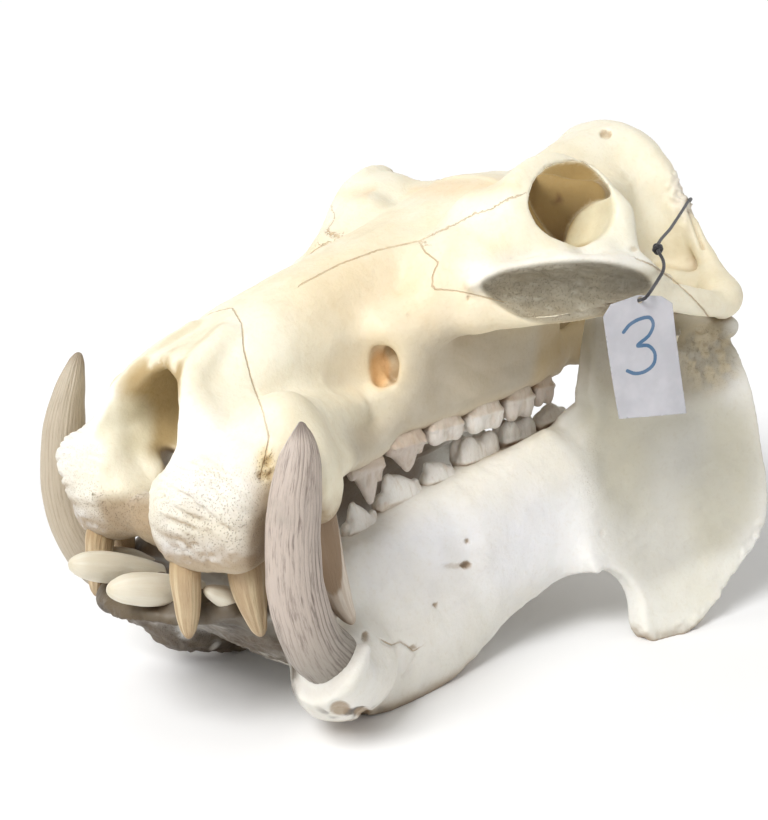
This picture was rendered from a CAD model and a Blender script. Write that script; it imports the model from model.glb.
"""The looks of the hippopotamus skull: its bones, teeth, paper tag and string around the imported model.

The bones are modelled as clay: forms are added and cut as signed distances on a grid, in millimetres,
with Y counted back from the front of the upper jaw. The finished pieces are in metres, in the frame.
"""
import math

import bmesh
import bpy
import numpy as np
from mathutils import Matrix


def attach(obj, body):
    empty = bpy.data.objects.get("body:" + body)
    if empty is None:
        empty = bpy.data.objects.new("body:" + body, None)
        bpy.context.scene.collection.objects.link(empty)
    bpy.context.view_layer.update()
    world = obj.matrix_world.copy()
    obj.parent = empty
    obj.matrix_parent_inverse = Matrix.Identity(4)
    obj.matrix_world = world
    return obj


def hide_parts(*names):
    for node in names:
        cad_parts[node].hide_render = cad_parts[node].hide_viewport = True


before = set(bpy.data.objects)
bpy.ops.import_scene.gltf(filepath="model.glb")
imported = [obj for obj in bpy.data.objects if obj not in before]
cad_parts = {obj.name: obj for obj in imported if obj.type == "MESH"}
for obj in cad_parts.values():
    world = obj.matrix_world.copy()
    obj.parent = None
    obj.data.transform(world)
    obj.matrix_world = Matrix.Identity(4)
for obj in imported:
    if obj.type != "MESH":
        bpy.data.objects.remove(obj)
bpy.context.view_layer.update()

import openvdb
from mathutils import Matrix

# Driving dimensions in millimetres. MM is one millimetre in metres, and TAG_TURN is in degrees.
MM = 0.001
MIDDLE_Y = 314.0
REACH = 42.0
TUSK_ROOM = 3.0
JOINT_ROOM = 1.5
CHEEK_TOOTH_ROOT = 12.0
TAG_TURN = 25.0
TAG_HOLE = (199.9, 403.4, 318.9)
TAG_THICK = 0.6
TAG_HOLE_RADIUS = 2.8
STRING_RADIUS = 1.5
KNOT_RADIUS = 4.8
KNOT_LENGTH = 7.0

# Fineness of the looks
BONE_GRAIN = 2.1
TOOTH_GRAIN = 1.1

# The camera: its target, how far it stands off, its turns in degrees and its focal length in pixels
# of the photograph's frame
PHOTO_WIDTH = 768
PHOTO_HEIGHT = 820
CAMERA_TARGET = (0, 280, 220)
CAMERA_AWAY = 1111.5
CAMERA_AZIMUTH = 49.2
CAMERA_ELEVATION = 11.7
CAMERA_ROLL = -3.794
CAMERA_FOCAL = 1200.0
CAMERA_SHIFT = 4.108
SENSOR = 36.0

# The space that the clay of one side fills
LOW = (0, -70, -12)
HIGH = (250, 700, 490)

# Long teeth, each as rows of x, y, z and half sizes across and along the jaw, from root to tip
LEFT_TUSK = [
    (125, 116, 46, 16, 17), (131, 105, 60, 18, 20), (137.5, 92, 78, 20.5, 23), (144, 70, 103.5, 20, 23),
    (149, 56, 147, 19, 22), (153, 54, 187, 18, 21), (156, 58, 223, 17, 19.5), (156, 65, 252, 12, 14),
    (153.5, 69, 268, 5, 6)]
RIGHT_TUSK = [
    (-125, 116, 46, 16, 17), (-131, 105, 60, 18, 20), (-137.5, 88, 78, 20.5, 23),
    (-146, 54, 106, 20, 22), (-152, 37, 141, 19, 21.5), (-156, 32, 177, 18, 21), (-158, 35, 213, 17, 20),
    (-160, 42, 243, 15, 18), (-160, 51, 270, 11, 13), (-160.5, 62, 296, 5, 6)]
UPPER_CANINE = [
    (127, 90, 216, 12, 14), (128, 96, 193, 13, 15), (129, 102, 154, 11.5, 13), (131, 110, 120, 8, 10),
    (134, 117, 101, 4, 5)]
UPPER_INCISORS = [
    [(63, 22, 180, 11, 11), (66, 15, 156, 12, 12), (69, 12, 130, 10, 10), (71.5, 9, 108, 5, 5)],
    [(96, 48, 178, 13, 13), (98, 49, 150, 14.5, 14.5), (99, 51, 126, 11, 11), (100, 55, 102, 5, 5)]]
LEFT_LOWER_INCISORS = [
    [(31, 46, 121, 11, 11), (31, 19, 131, 12.5, 12.5), (31, -8, 140, 13, 13), (31, -27, 145, 10, 10)],
    [(71, 66, 113, 8, 8), (74, 44, 128, 9, 9), (74, 27, 139, 5, 5)]]
RIGHT_LOWER_INCISORS = [
    [(-31, 46, 121, 11, 11), (-31, 19, 134, 12.5, 12.5), (-31, -8, 145, 12.5, 12.5), (-31, -27, 152, 9, 9)],
    [(-71, 66, 113, 8, 8), (-74, 44, 128, 9, 9), (-74, 27, 139, 5, 5)]]

# Cheek teeth: front and back y, gum z, tip z, y of the point, x of the middle, half width
UPPER_CHEEK = {
    "premolar_2": (178, 216, 202, 164, 200, 67, 10),
    "premolar_3": (218, 262, 213, 185, 243, 69, 13),
    "premolar_4": (264, 309, 218, 203, 288, 67, 14),
    "molar_1": (312, 361, 221, 204, 336, 67, 15),
    "molar_2": (363, 403, 227, 206, 384, 67, 15),
    "molar_3": (405, 433, 232, 212, 417, 66, 14),
}
LOWER_CHEEK = {
    "premolar_2": (171, 211, 142, 168, 184, 62, 9),
    "premolar_3": (213, 266, 157, 182, 226, 60, 11),
    "premolar_4": (268, 306, 165, 182, 274, 60, 12),
    "molar_1": (309, 363, 173, 197, 336, 60, 13),
    "molar_2": (366, 414, 181, 202, 390, 60, 13),
    "molar_3": (417, 464, 190, 207, 440, 62, 12),
}

# Jaw joint: the lower jaw's condyle, as bar rows
CONDYLE = [(98, 572, 268, 12, 10), (140, 572, 273, 15, 13), (176, 570, 272, 12, 11)]

# The tag's outline in its own plane, from its hole, and the string's route
TAG_OUTLINE = [(-35, -11), (-28, -1), (-2, 4.4), (20, 1.6), (30.4, -5.4), (42.4, -103.6), (-22.6, -101)]
STRING_ROUTE = [
    (75.1, 634.5, 360), (81.2, 631.1, 370), (90.5, 627, 382), (98.8, 624.7, 389), (104.2, 619.6, 391.5),
    (107, 614, 392), (110.8, 604.8, 390), (123.2, 577.3, 383.1), (146.2, 525.9, 370.7), (172.5, 467.2, 356.5),
    (184.2, 459, 347), (195, 444, 339.8), (198.5, 432, 333.5), (203.5, 418, 328.8), (208, 406.5, 325.5),
    (207.5, 400.5, 321.2), (199.9, 403.4, 318.9), (193.4, 406.4, 316.6), (191.6, 407.2, 309)]
KNOT_AT = 9
STRING_POINTS = 60

# The coarse clay's grain as a multiple of the fine one's, and how near its surface the fine one is worked out
COARSE = 2.5
BAND = 8.0

# The tag's grain and curl, the knot's strand, and the numeral's line and half its width
TAG_GRAIN = 0.75
TAG_CURL = 1.4
KNOT_STRAND = 1.6
INK_HALF = 1.6
NUMERAL = [
    (-16, -26), (-10, -20), (0, -16), (9, -16), (12, -22), (8, -31), (-3, -39), (7, -40), (13, -47),
    (12, -56), (4, -62), (-6, -63), (-13, -60)]

# Grooves round a tusk, the most triangles of a bone, and how brown each cheek tooth is
TUSK_GROOVES = 34
MOST_TRIANGLES = 190000
USUAL_STAIN = 0.2
STAINED = {"upper_premolar_2": 0.75, "upper_premolar_3": 0.85, "upper_premolar_4": 0.5, "upper_molar_1": 0.3,
           "upper_molar_2": 0.6, "upper_molar_3": 0.9, "lower_molar_1": 0.35, "lower_molar_3": 0.4}

# The surround's light, and lamps: name, place and size in metres, and power in watts
WORLD_LIGHT = 0.42
LIGHTS = [
    ("key", (0.7, -2.2, 2.4), 1.4, 88),
    ("fill", (2.2, 1.2, 1.5), 2.0, 6),
    ("left", (-1.6, -1.6, 1.4), 1.6, 10)]


class Form:
    """A shape with a signed distance and the box that it fills, in millimetres."""

    def __init__(self, low, high, distance):
        self.low = np.array(low, float)
        self.high = np.array(high, float)
        self.distance = distance


def turned(turn):
    """Rows are the form's own axes after turns about X, Y and Z, in degrees."""
    cx, cy, cz = np.cos(np.radians(turn))
    sx, sy, sz = np.sin(np.radians(turn))
    about_x = np.array([[1, 0, 0], [0, cx, -sx], [0, sx, cx]])
    about_y = np.array([[cy, 0, sy], [0, 1, 0], [-sy, 0, cy]])
    about_z = np.array([[cz, -sz, 0], [sz, cz, 0], [0, 0, 1]])
    return (about_z @ about_y @ about_x).T


def ball(centre, radii, turn=(0, 0, 0)):
    """An ellipsoid."""
    axes = turned(turn)
    radii = np.array(radii, float)
    spread = np.sqrt(((axes.T * radii) ** 2).sum(axis=1))
    centre = np.array(centre, float)

    def distance(x, y, z):
        near = 0
        steep = 0
        for axis, radius in zip(axes, radii):
            along = (x - centre[0]) * axis[0] + (y - centre[1]) * axis[1] + (z - centre[2]) * axis[2]
            near = near + (along / radius) ** 2
            steep = steep + (along / radius**2) ** 2
        near = np.sqrt(near)
        return near * (near - 1) / np.sqrt(steep + 1e-12)

    return Form(centre - spread, centre + spread, distance)


def curved(rows, count):
    """Rows of numbers read at even steps along a smooth curve through them."""
    rows = np.array(rows, float)
    gaps = np.linalg.norm(np.diff(rows[:, :3], axis=0), axis=1) ** 0.5
    knots = np.concatenate([[0], np.cumsum(gaps)])
    slopes = np.gradient(rows, knots, axis=0)
    places = np.linspace(0, knots[-1], count)
    index = np.clip(np.searchsorted(knots, places, side="right") - 1, 0, len(knots) - 2)
    width = (knots[index + 1] - knots[index])[:, None]
    t = (places - knots[index])[:, None] / width
    return (
        (2 * t**3 - 3 * t**2 + 1) * rows[index]
        + (t**3 - 2 * t**2 + t) * width * slopes[index]
        + (3 * t**2 - 2 * t**3) * rows[index + 1]
        + (t**3 - t**2) * width * slopes[index + 1]
    )


def limb(rows, up=(0, 0, 1), bends=4, power=2.0):
    """A bar through points: each row is x, y, z, half its width and half its height along `up`."""
    rows = np.array([tuple(row) if len(row) == 5 else (*row, row[3]) for row in rows], float)
    if len(rows) > 2:
        rows = curved(rows, (len(rows) - 1) * bends + 1)
    up = np.array(up, float)

    def distance(x, y, z):
        best = None
        for start, end in zip(rows[:-1], rows[1:]):
            run = end[:3] - start[:3]
            length = np.linalg.norm(run)
            run = run / length
            side = np.cross(run, up)
            side = side / np.linalg.norm(side)
            top = np.cross(side, run)
            dx, dy, dz = x - start[0], y - start[1], z - start[2]
            along = dx * run[0] + dy * run[1] + dz * run[2]
            part = np.clip(along / length, 0, 1)
            over = along - part * length
            across = dx * side[0] + dy * side[1] + dz * side[2]
            above = dx * top[0] + dy * top[1] + dz * top[2]
            wide = start[3] + (end[3] - start[3]) * part
            high = start[4] + (end[4] - start[4]) * part
            deep = np.minimum(wide, high)
            if power == 2.0:
                near = np.sqrt((across / wide) ** 2 + (above / high) ** 2 + (over / deep) ** 2)
                steep = np.sqrt(
                    (across / wide**2) ** 2 + (above / high**2) ** 2 + (over / deep**2) ** 2
                )
                found = near * (near - 1) / (steep + 1e-9)
            else:
                u, v, w = np.abs(across / wide), np.abs(above / high), np.abs(over / deep)
                near = (u**power + v**power + w**power) ** (1 / power)
                steep = np.sqrt(
                    (u ** (power - 1) / wide) ** 2
                    + (v ** (power - 1) / high) ** 2
                    + (w ** (power - 1) / deep) ** 2
                ) * np.maximum(near, 1e-6) ** (1 - power)
                found = (near - 1) / (steep + 1e-9)
            best = found if best is None else np.minimum(best, found)
        return best

    size = rows[:, 3:].max(axis=1)[:, None]
    return Form((rows[:, :3] - size).min(axis=0), (rows[:, :3] + size).max(axis=0), distance)


def loft(rows, power=2.4):
    """Sections along Y: each row is y, x centre, half width, low z, high z and optionally its power."""
    rows = np.array([tuple(row) if len(row) == 6 else (*row, power) for row in rows], float)
    ys = rows[:, 0]
    slopes = np.gradient(rows, ys, axis=0)

    def read(y, column):
        index = np.clip(np.searchsorted(ys, y, side="right") - 1, 0, len(ys) - 2)
        width = ys[index + 1] - ys[index]
        t = np.clip((y - ys[index]) / width, 0, 1)
        return (
            (2 * t**3 - 3 * t**2 + 1) * rows[index, column]
            + (t**3 - 2 * t**2 + t) * width * slopes[index, column]
            + (3 * t**2 - 2 * t**3) * rows[index + 1, column]
            + (t**3 - t**2) * width * slopes[index + 1, column]
        )

    def distance(x, y, z):
        centre, half, low, high, curve = (read(y, column) for column in range(1, 6))
        middle, tall = (low + high) / 2, (high - low) / 2
        u = np.abs((x - centre) / half)
        v = np.abs((z - middle) / tall)
        near = (u**curve + v**curve) ** (1 / curve)
        steep = np.sqrt((u ** (curve - 1) / half) ** 2 + (v ** (curve - 1) / tall) ** 2)
        steep = steep * np.maximum(near, 1e-6) ** (1 - curve)
        found = (near - 1) / (steep + 1e-9)
        return np.maximum(found, np.maximum(ys[0] - y, y - ys[-1]))

    wide = rows[:, 2].max()
    low = (rows[:, 1].min() - wide, ys[0], rows[:, 3].min())
    return Form(low, (rows[:, 1].max() + wide, ys[-1], rows[:, 4].max()), distance)


def sheet(anchors):
    """A smooth surface value over (y, z) through anchors (y, z, value): a thin-plate spline."""
    anchors = np.array(anchors, float)
    places = anchors[:, :2] / 100

    def swell(gap):
        return gap**2 * np.log(gap + 1e-9)

    gaps = np.linalg.norm(places[:, None] - places[None], axis=2)
    count = len(places)
    flat = np.column_stack([np.ones(count), places])
    system = np.block([[swell(gaps) + 0.02 * np.eye(count), flat], [flat.T, np.zeros((3, 3))]])
    weights = np.linalg.solve(system, np.concatenate([anchors[:, 2], np.zeros(3)]))

    def value(y, z):
        y, z = y / 100, z / 100
        found = weights[count] + weights[count + 1] * y + weights[count + 2] * z
        for weight, place in zip(weights, places):
            found = found + weight * swell(np.sqrt((y - place[0]) ** 2 + (z - place[1]) ** 2))
        return found

    return value


def outline_distance(corners, u, v):
    """Signed distance to a closed outline in a plane, negative inside."""
    corners = np.array(corners, float)
    best = None
    inside = np.zeros(np.broadcast(u, v).shape, bool)
    for start, end in zip(corners, np.roll(corners, -1, axis=0)):
        du, dv = end - start
        t = np.clip(((u - start[0]) * du + (v - start[1]) * dv) / (du * du + dv * dv), 0, 1)
        gap = (u - start[0] - t * du) ** 2 + (v - start[1] - t * dv) ** 2
        best = gap if best is None else np.minimum(best, gap)
        crosses = (start[1] > v) != (end[1] > v)
        if dv:
            inside ^= crosses & (u < start[0] + (v - start[1]) * du / dv)
    return np.where(inside, -1, 1) * np.sqrt(best)


def rounded(corners, per_side=4):
    """A smooth closed outline through corners."""
    corners = np.array(corners, float)
    count = len(corners)
    points = []
    for index in range(count):
        a, b, c, d = (corners[(index + k - 1) % count] for k in range(4))
        for t in np.arange(per_side) / per_side:
            points.append(
                b + 0.5 * t * (c - a + t * (2 * a - 5 * b + 4 * c - d + t * (3 * (b - c) + d - a)))
            )
    return np.array(points)


def plate(corners, middle, thick, axis=0, edge=4.0):
    """A curved plate: an outline in the other two axes, a middle surface and a thickness."""
    corners = rounded(corners)

    def distance(x, y, z):
        places = [x, y, z]
        across = places.pop(axis)
        u, v = places
        flat = outline_distance(corners, u, v)
        centre = middle(u, v) if callable(middle) else middle
        half = (thick(u, v) if callable(thick) else thick) / 2
        side = np.abs(across - centre) - half + edge
        flat = flat + edge
        outer = np.sqrt(np.maximum(side, 0) ** 2 + np.maximum(flat, 0) ** 2)
        return outer + np.minimum(np.maximum(side, flat), 0) - edge

    u = np.linspace(corners[:, 0].min(), corners[:, 0].max(), 12)[:, None]
    v = np.linspace(corners[:, 1].min(), corners[:, 1].max(), 12)[None]
    centre = middle(u, v) if callable(middle) else np.array([middle])
    half = thick(u, v).max() / 2 if callable(thick) else thick / 2
    low = [corners[:, 0].min(), corners[:, 1].min()]
    high = [corners[:, 0].max(), corners[:, 1].max()]
    low.insert(axis, centre.min() - half)
    high.insert(axis, centre.max() + half)
    return Form(low, high, distance)


class Clay:
    """Signed distances on a grid in millimetres; a mirrored one covers x >= 0 alone.

    Given a coarser clay of the same forms, it works out only the places that lie near that one's surface.
    """

    def __init__(self, low, high, step, mirrored=True, coarse=None):
        self.step = step
        self.mirrored = mirrored
        low = np.array([0 if mirrored else low[0], low[1], low[2]], float)
        counts = np.ceil((np.array(high) - low) / step).astype(int) + 1
        self.axes = [low[k] + step * np.arange(counts[k]) for k in range(3)]
        self.field = np.full(counts, REACH, np.float32)
        self.values = self.field
        self.places = None
        if coarse is not None:
            self.field = coarse.read(self.axes)
            self.spots = np.nonzero(np.abs(self.field) < BAND)
            self.places = [
                axis[spot].astype(np.float32) for axis, spot in zip(self.axes, self.spots)]
            self.values = np.full(len(self.places[0]), REACH, np.float32)

    def read(self, axes):
        """The field at the places of finer axes."""
        found = self.field
        for k, axis in enumerate(axes):
            place = np.clip((axis - self.axes[k][0]) / self.step, 0, len(self.axes[k]) - 1.001)
            first = place.astype(int)
            part = (place - first).astype(np.float32).reshape([-1 if n == k else 1 for n in range(3)])
            found = np.take(found, first, k) * (1 - part) + np.take(found, first + 1, k) * part
        return found

    def near(self, form, reach):
        low, high = form.low - reach, form.high + reach
        if self.places is not None:
            inside = np.ones(len(self.values), bool)
            for place, least, most in zip(self.places, low, high):
                inside &= (place > least) & (place < most)
            chosen = np.flatnonzero(inside)
            return chosen, form.distance(*(place[chosen] for place in self.places))
        cuts = []
        for axis, least, most in zip(self.axes, low, high):
            first = np.searchsorted(axis, least)
            cuts.append(slice(first, max(np.searchsorted(axis, most), first + 1)))
        x, y, z = (axis[cut].astype(np.float32) for axis, cut in zip(self.axes, cuts))
        return tuple(cuts), form.distance(x[:, None, None], y[None, :, None], z[None, None, :])

    def add(self, form, blend=10.0):
        cuts, other = self.near(form, REACH)
        own = self.values[cuts]
        mix = np.clip(0.5 + 0.5 * (own - other) / blend, 0, 1)
        self.values[cuts] = own + (other - own) * mix - blend * mix * (1 - mix)

    def cut(self, form, blend=5.0):
        cuts, other = self.near(form, blend + 3 * self.step)
        own = self.values[cuts]
        mix = np.clip(0.5 - 0.5 * (own + other) / blend, 0, 1)
        self.values[cuts] = own + (-other - own) * mix + blend * mix * (1 - mix)

    def whole(self):
        """The field on both sides."""
        if self.places is not None:
            self.field[self.spots] = self.values
        return np.concatenate([self.field[:0:-1], self.field]) if self.mirrored else self.field


def shaped(build, low, high, step, mirrored=True):
    """The clay that a function builds, worked out coarsely first and then finely near its surface."""
    coarse = Clay(low, high, COARSE * step, mirrored)
    build(coarse)
    fine = Clay(low, high, step, mirrored, coarse)
    build(fine)
    return fine


def grown(rows, gap):
    """Bar rows with the gap added to their half sizes."""
    return [(*row[:3], *(size + gap for size in row[3:])) for row in rows]


def rim(centre, ahead, above, thick, count=12):
    """Bar rows in a closed loop round an ellipse, thicker at its foot than at its top."""
    rows = []
    for turn in np.linspace(0, 2 * math.pi, count + 1):
        place = np.array(centre) + np.cos(turn) * np.array(ahead) + np.sin(turn) * np.array(above)
        size = thick * (1 - 0.25 * np.sin(turn))
        rows.append((*place, size, size))
    return rows


def muzzle(clay):
    """Snout, forehead, front lobes and the sockets of the upper front teeth."""
    clay.add(loft([
        (58, 0, 40, 240, 309, 2.2), (90, 0, 62, 200, 324, 2.4), (130, 0, 66, 202, 342, 2.6),
        (170, 0, 60, 204, 356, 2.8), (210, 0, 57, 208, 369, 2.8), (250, 0, 60, 212, 382, 2.8),
        (300, 0, 66, 216, 397, 2.8), (350, 0, 76, 220, 414, 2.8), (395, 0, 86, 232, 427, 2.8),
        (440, 0, 74, 256, 428, 2.6)]), 4)
    clay.add(limb([(12, 78, 288, 20), (58, 72, 250, 29), (92, 66, 220, 33)]), 18)
    clay.add(ball((98, 64, 212), (30, 44, 44)), 18)
    clay.add(limb([(48, 38, 194, 26, 36), (70, 34, 194, 30, 38), (94, 42, 193, 30, 36)], power=3.2), 12)
    clay.add(ball((62, 34, 196), (38, 36, 42)), 12)
    clay.add(limb([(18, 68, 294, 11), (44, 54, 276, 14), (62, 46, 256, 17), (66, 36, 236, 20)]), 14)
    clay.add(limb([
        (0, 64, 303, 8), (28, 52, 291, 8), (43, 40, 277, 8), (55, 28, 260, 9), (57, 18, 243, 12),
        (48, 20, 224, 16)]), 10)
    clay.add(limb([(108, 84, 262, 22), (122, 90, 238, 23), (127, 94, 212, 23), (128, 97, 206, 22)]), 16)
    clay.add(limb([(92, 104, 250, 26), (74, 150, 248, 20), (62, 190, 246, 14)]), 26)
    clay.add(limb([(112, 112, 222, 16), (92, 146, 219, 16), (72, 180, 216, 13)]), 20)


def cheek(clay):
    """The edge that bears the cheek teeth, the cheek and the zygomatic arch."""
    clay.add(limb([
        (70, 176, 214, 13, 13), (67, 206, 216, 13, 15), (66, 230, 230, 14, 16), (66, 300, 236, 16, 17),
        (66, 400, 248, 17, 18), (62, 445, 252, 13, 18)]), 12)
    clay.add(limb([(64, 236, 300, 13, 24), (82, 268, 316, 16, 26), (109, 300, 326, 15, 21)]), 26)
    clay.add(limb([(64, 244, 256, 13), (66, 240, 280, 13), (66, 238, 304, 14)]), 20)
    clay.add(limb([
        (66, 262, 266, 15, 22), (68, 320, 280, 16, 30), (68, 390, 290, 16, 32), (66, 432, 290, 13, 30)]), 22)
    clay.add(ball((82, 322, 356), (34, 56, 40), (8, 0, -12)), 24)
    clay.add(limb([
        (111, 297, 322, 17, 20), (140, 322, 328, 14, 25), (160, 358, 328, 11, 24),
        (174, 405, 326, 10, 19), (180, 450, 318, 9, 15), (185, 510, 303, 9, 13),
        (181, 555, 297, 11, 12), (168, 579, 302, 13, 13)], up=(-0.25, 0, 1)), 14)
    clay.add(limb([
        (122, 280, 344, 5), (138, 302, 351, 6), (152, 328, 354, 6.5), (168, 358, 354, 6.5),
        (179, 390, 351, 6), (184, 424, 343, 5.5), (186, 462, 330, 5)]), 9)


def orbit(clay):
    """The eye's cup with its rim, and the struts that carry it."""
    clay.add(ball((106, 391, 390), (48, 60, 49), (0, -20, 0)), 18)
    clay.add(ball((72, 430, 398), (30, 40, 30)), 14)
    clay.add(limb(
        rim((131, 390, 397), (14, 52, -5), (-14, 7, 43), 7.5), up=(0.917, -0.213, 0.337), bends=2), 12)
    clay.add(limb([(78, 337, 394, 24), (100, 336, 392, 13), (109, 324, 372, 15), (114, 306, 350, 17)]), 22)
    clay.add(limb([(118, 342, 370, 16), (142, 360, 352, 15)]), 24)
    clay.add(limb([(150, 404, 360, 12), (164, 400, 346, 12)]), 22)
    clay.add(limb([(146, 440, 384, 11), (158, 436, 364, 11), (170, 430, 346, 9)]), 30)


def braincase(clay):
    """Braincase, crest of the occiput, hind root of the arch and the base of the skull."""
    clay.add(loft([
        (405, 0, 80, 262, 427), (435, 0, 66, 270, 428), (465, 0, 52, 276, 430), (500, 0, 48, 276, 440),
        (535, 0, 50, 272, 453), (570, 0, 58, 268, 465), (605, 0, 72, 266, 467),
        (630, 0, 66, 270, 455)], 2.3), 16)
    clay.add(limb([
        (116, 436, 408, 12, 13), (92, 480, 404, 15, 13), (66, 524, 402, 20, 17),
        (50, 552, 400, 24, 22)]), 24)
    crest = [
        (0, 468), (34, 461), (58, 447), (79, 428), (93, 408), (99, 386), (106, 350), (122, 317),
        (124, 290), (98, 272), (50, 268), (0, 266), (-40, 268), (-40, 466)]
    clay.add(plate(crest, 612, 18, axis=1, edge=7), 42)
    clay.add(limb([(171, 570, 300, 14, 14), (138, 579, 304, 20, 16), (90, 583, 304, 26, 22)]), 18)
    clay.add(limb([(176, 562, 300, 12), (153, 588, 319, 10), (121, 606, 350, 9), (100, 610, 384, 8)]), 16)
    clay.add(limb([
        (0, 640, 276, 30, 14), (0, 560, 266, 34, 16), (0, 470, 262, 30, 16), (0, 430, 256, 30, 20)]), 14)
    clay.add(limb([(28, 606, 292, 26), (34, 632, 290, 22, 26), (34, 650, 292, 15, 20)]), 14)
    clay.add(ball((58, 550, 264), (20, 30, 18)), 10)
    clay.add(limb([(84, 610, 290, 14), (82, 618, 262, 10), (80, 620, 240, 6)]), 10)
    clay.add(limb([(52, 438, 256, 8, 18), (54, 464, 254, 7, 17), (52, 494, 262, 5, 13)]), 10)


def hollows(clay):
    """Palate notch, nasal cavity, eye cup, foramina and the room for the lower jaw's pieces."""
    notch = [
        (0, 345), (30, 330), (54, 298), (52, 268), (44, 236), (26, 208), (0, 196), (-40, 208), (-40, 330)]
    clay.cut(plate(notch, 8, 80, axis=1, edge=8), 12)
    clay.cut(loft([
        (4, 0, 46, 212, 300, 1.7), (30, 0, 48, 210, 298, 1.7), (54, 0, 48, 210, 297, 1.7),
        (76, 0, 46, 212, 303, 1.8), (100, 0, 41, 217, 313, 2), (130, 0, 36, 222, 328, 2.2),
        (180, 0, 32, 228, 342, 2.2), (260, 0, 28, 234, 352, 2.2)]), 7)
    clay.cut(loft([
        (-20, 0, 24, 90, 236), (16, 0, 20, 90, 236), (44, 0, 12, 150, 236), (72, 0, 6, 180, 236)], 2.6), 8)
    clay.cut(ball((126, 391, 395), (50, 47, 38), (0, -20, 12)), 6)
    clay.cut(ball((90, 376, 380), (38, 27, 24), (0, -20, 10)), 6)
    clay.cut(limb([
        (138, 277, 333, 13, 12), (152, 303, 331, 15, 16), (163, 327, 331, 17, 17), (177, 353, 331, 17, 17),
        (190, 385, 331, 16, 15), (200, 422, 326, 13, 10)]), 2.5)
    clay.cut(limb([(92, 186, 270, 6, 11), (74, 218, 275, 7, 16), (60, 246, 280, 8, 17),
                   (50, 276, 284, 8, 12)]), 5)
    clay.cut(ball((0, 655, 306), (19, 44, 18)), 6)
    clay.cut(limb(grown(LEFT_TUSK, TUSK_ROOM), up=(0, 1, 0)), 3)
    clay.cut(limb(grown(CONDYLE, JOINT_ROOM)), 3)


def cranium(clay):
    """The skull without its lower jaw, in one piece."""
    for build in (muzzle, cheek, orbit, braincase, hollows):
        build(clay)


def mandible(clay):
    """The lower jaw: branches, chin, tusk sockets, the plate behind with its angle, and the condyle."""
    clay.add(limb([
        (92, 120, 78, 24, 58), (90, 170, 68, 24, 73), (88, 230, 72, 22, 76), (86, 290, 94, 21, 72),
        (92, 350, 112, 21, 65), (98, 410, 130, 21, 60), (104, 455, 156, 19, 52)],
        up=(-0.2, 0, 1), power=2.6), 8)
    clay.add(limb([
        (62, 170, 126, 12, 14), (60, 190, 130, 13, 14), (60, 236, 146, 13, 14), (60, 281, 151, 13, 14),
        (60, 327, 160, 13, 14), (60, 388, 166, 13, 14), (63, 440, 175, 13, 14), (66, 462, 178, 12, 13)]), 16)
    clay.add(limb([(68, 452, 164, 14, 22), (106, 474, 166, 12, 34)]), 22)
    clay.add(loft([
        (-14, 0, 16, 110, 120), (-6, 0, 32, 107, 124), (8, 0, 48, 100, 124),
        (28, 0, 66, 97, 124), (54, 0, 82, 87, 120), (90, 0, 94, 58, 114),
        (130, 0, 94, 31, 108), (165, 0, 88, 21, 100), (188, 0, 80, 25, 92)], 2.8), 12)
    clay.add(limb([(31, 26, 122, 14), (31, 60, 112, 15)]), 10)
    clay.add(limb([(73, 46, 117, 13), (71, 74, 106, 13)]), 10)
    clay.add(ball((112, 122, 54), (32, 44, 38), (20, 0, 0)), 16)
    clay.add(limb([(112, 136, 48, 30), (124, 112, 54, 31), (136, 98, 65, 29)]), 14)
    outline = [
        (434, 190), (420, 228), (416, 270), (421, 306), (436, 323), (452, 316), (470, 292), (500, 266),
        (532, 256), (550, 268), (575, 272), (588, 248), (590, 205), (588, 160), (583, 112), (562, 70),
        (528, 42), (496, 17), (464, 0), (434, -5), (420, 8), (423, 36), (418, 57), (405, 69), (388, 78)]
    middle = sheet([
        (430, 186, 104), (408, 226, 118), (412, 300, 130), (440, 316, 132), (500, 262, 142),
        (560, 262, 150), (580, 240, 168), (580, 200, 184), (580, 117, 206), (560, 66, 212),
        (520, 24, 208), (480, 4, 200), (430, 4, 180), (396, 40, 164), (370, 76, 134), (460, 130, 140),
        (510, 130, 162), (490, 200, 142)])
    thick = sheet([
        (430, 180, 26), (412, 280, 16), (438, 318, 10), (500, 262, 14), (560, 265, 22), (585, 200, 15),
        (585, 112, 14), (560, 60, 18), (520, 16, 20), (440, -2, 24), (395, 45, 22), (490, 100, 12),
        (470, 180, 14), (530, 150, 12)])
    clay.add(plate(outline, middle, thick, edge=5), 26)
    clay.add(limb(CONDYLE), 14)
    clay.cut(loft([
        (54, 0, 38, 116, 190), (90, 0, 46, 100, 180), (130, 0, 46, 84, 180), (215, 0, 44, 60, 190)], 2.6), 14)
    for rows in (UPPER_CANINE, *UPPER_INCISORS):
        clay.cut(limb(grown(rows, TUSK_ROOM), up=(0, 1, 0)), 3)


def camera_axes():
    """Where the camera stands and its right, up and forward directions, in millimetres."""
    azimuth, elevation, roll = np.radians((CAMERA_AZIMUTH, CAMERA_ELEVATION, CAMERA_ROLL))
    back = np.array([
        math.sin(azimuth) * math.cos(elevation), -math.cos(azimuth) * math.cos(elevation),
        math.sin(elevation)])
    level = np.cross(-back, (0, 0, 1))
    level = level / np.linalg.norm(level)
    above = np.cross(level, -back)
    right = level * math.cos(roll) + above * math.sin(roll)
    up = -level * math.sin(roll) + above * math.cos(roll)
    return np.array(CAMERA_TARGET) + back * CAMERA_AWAY, right, up, -back


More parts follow.
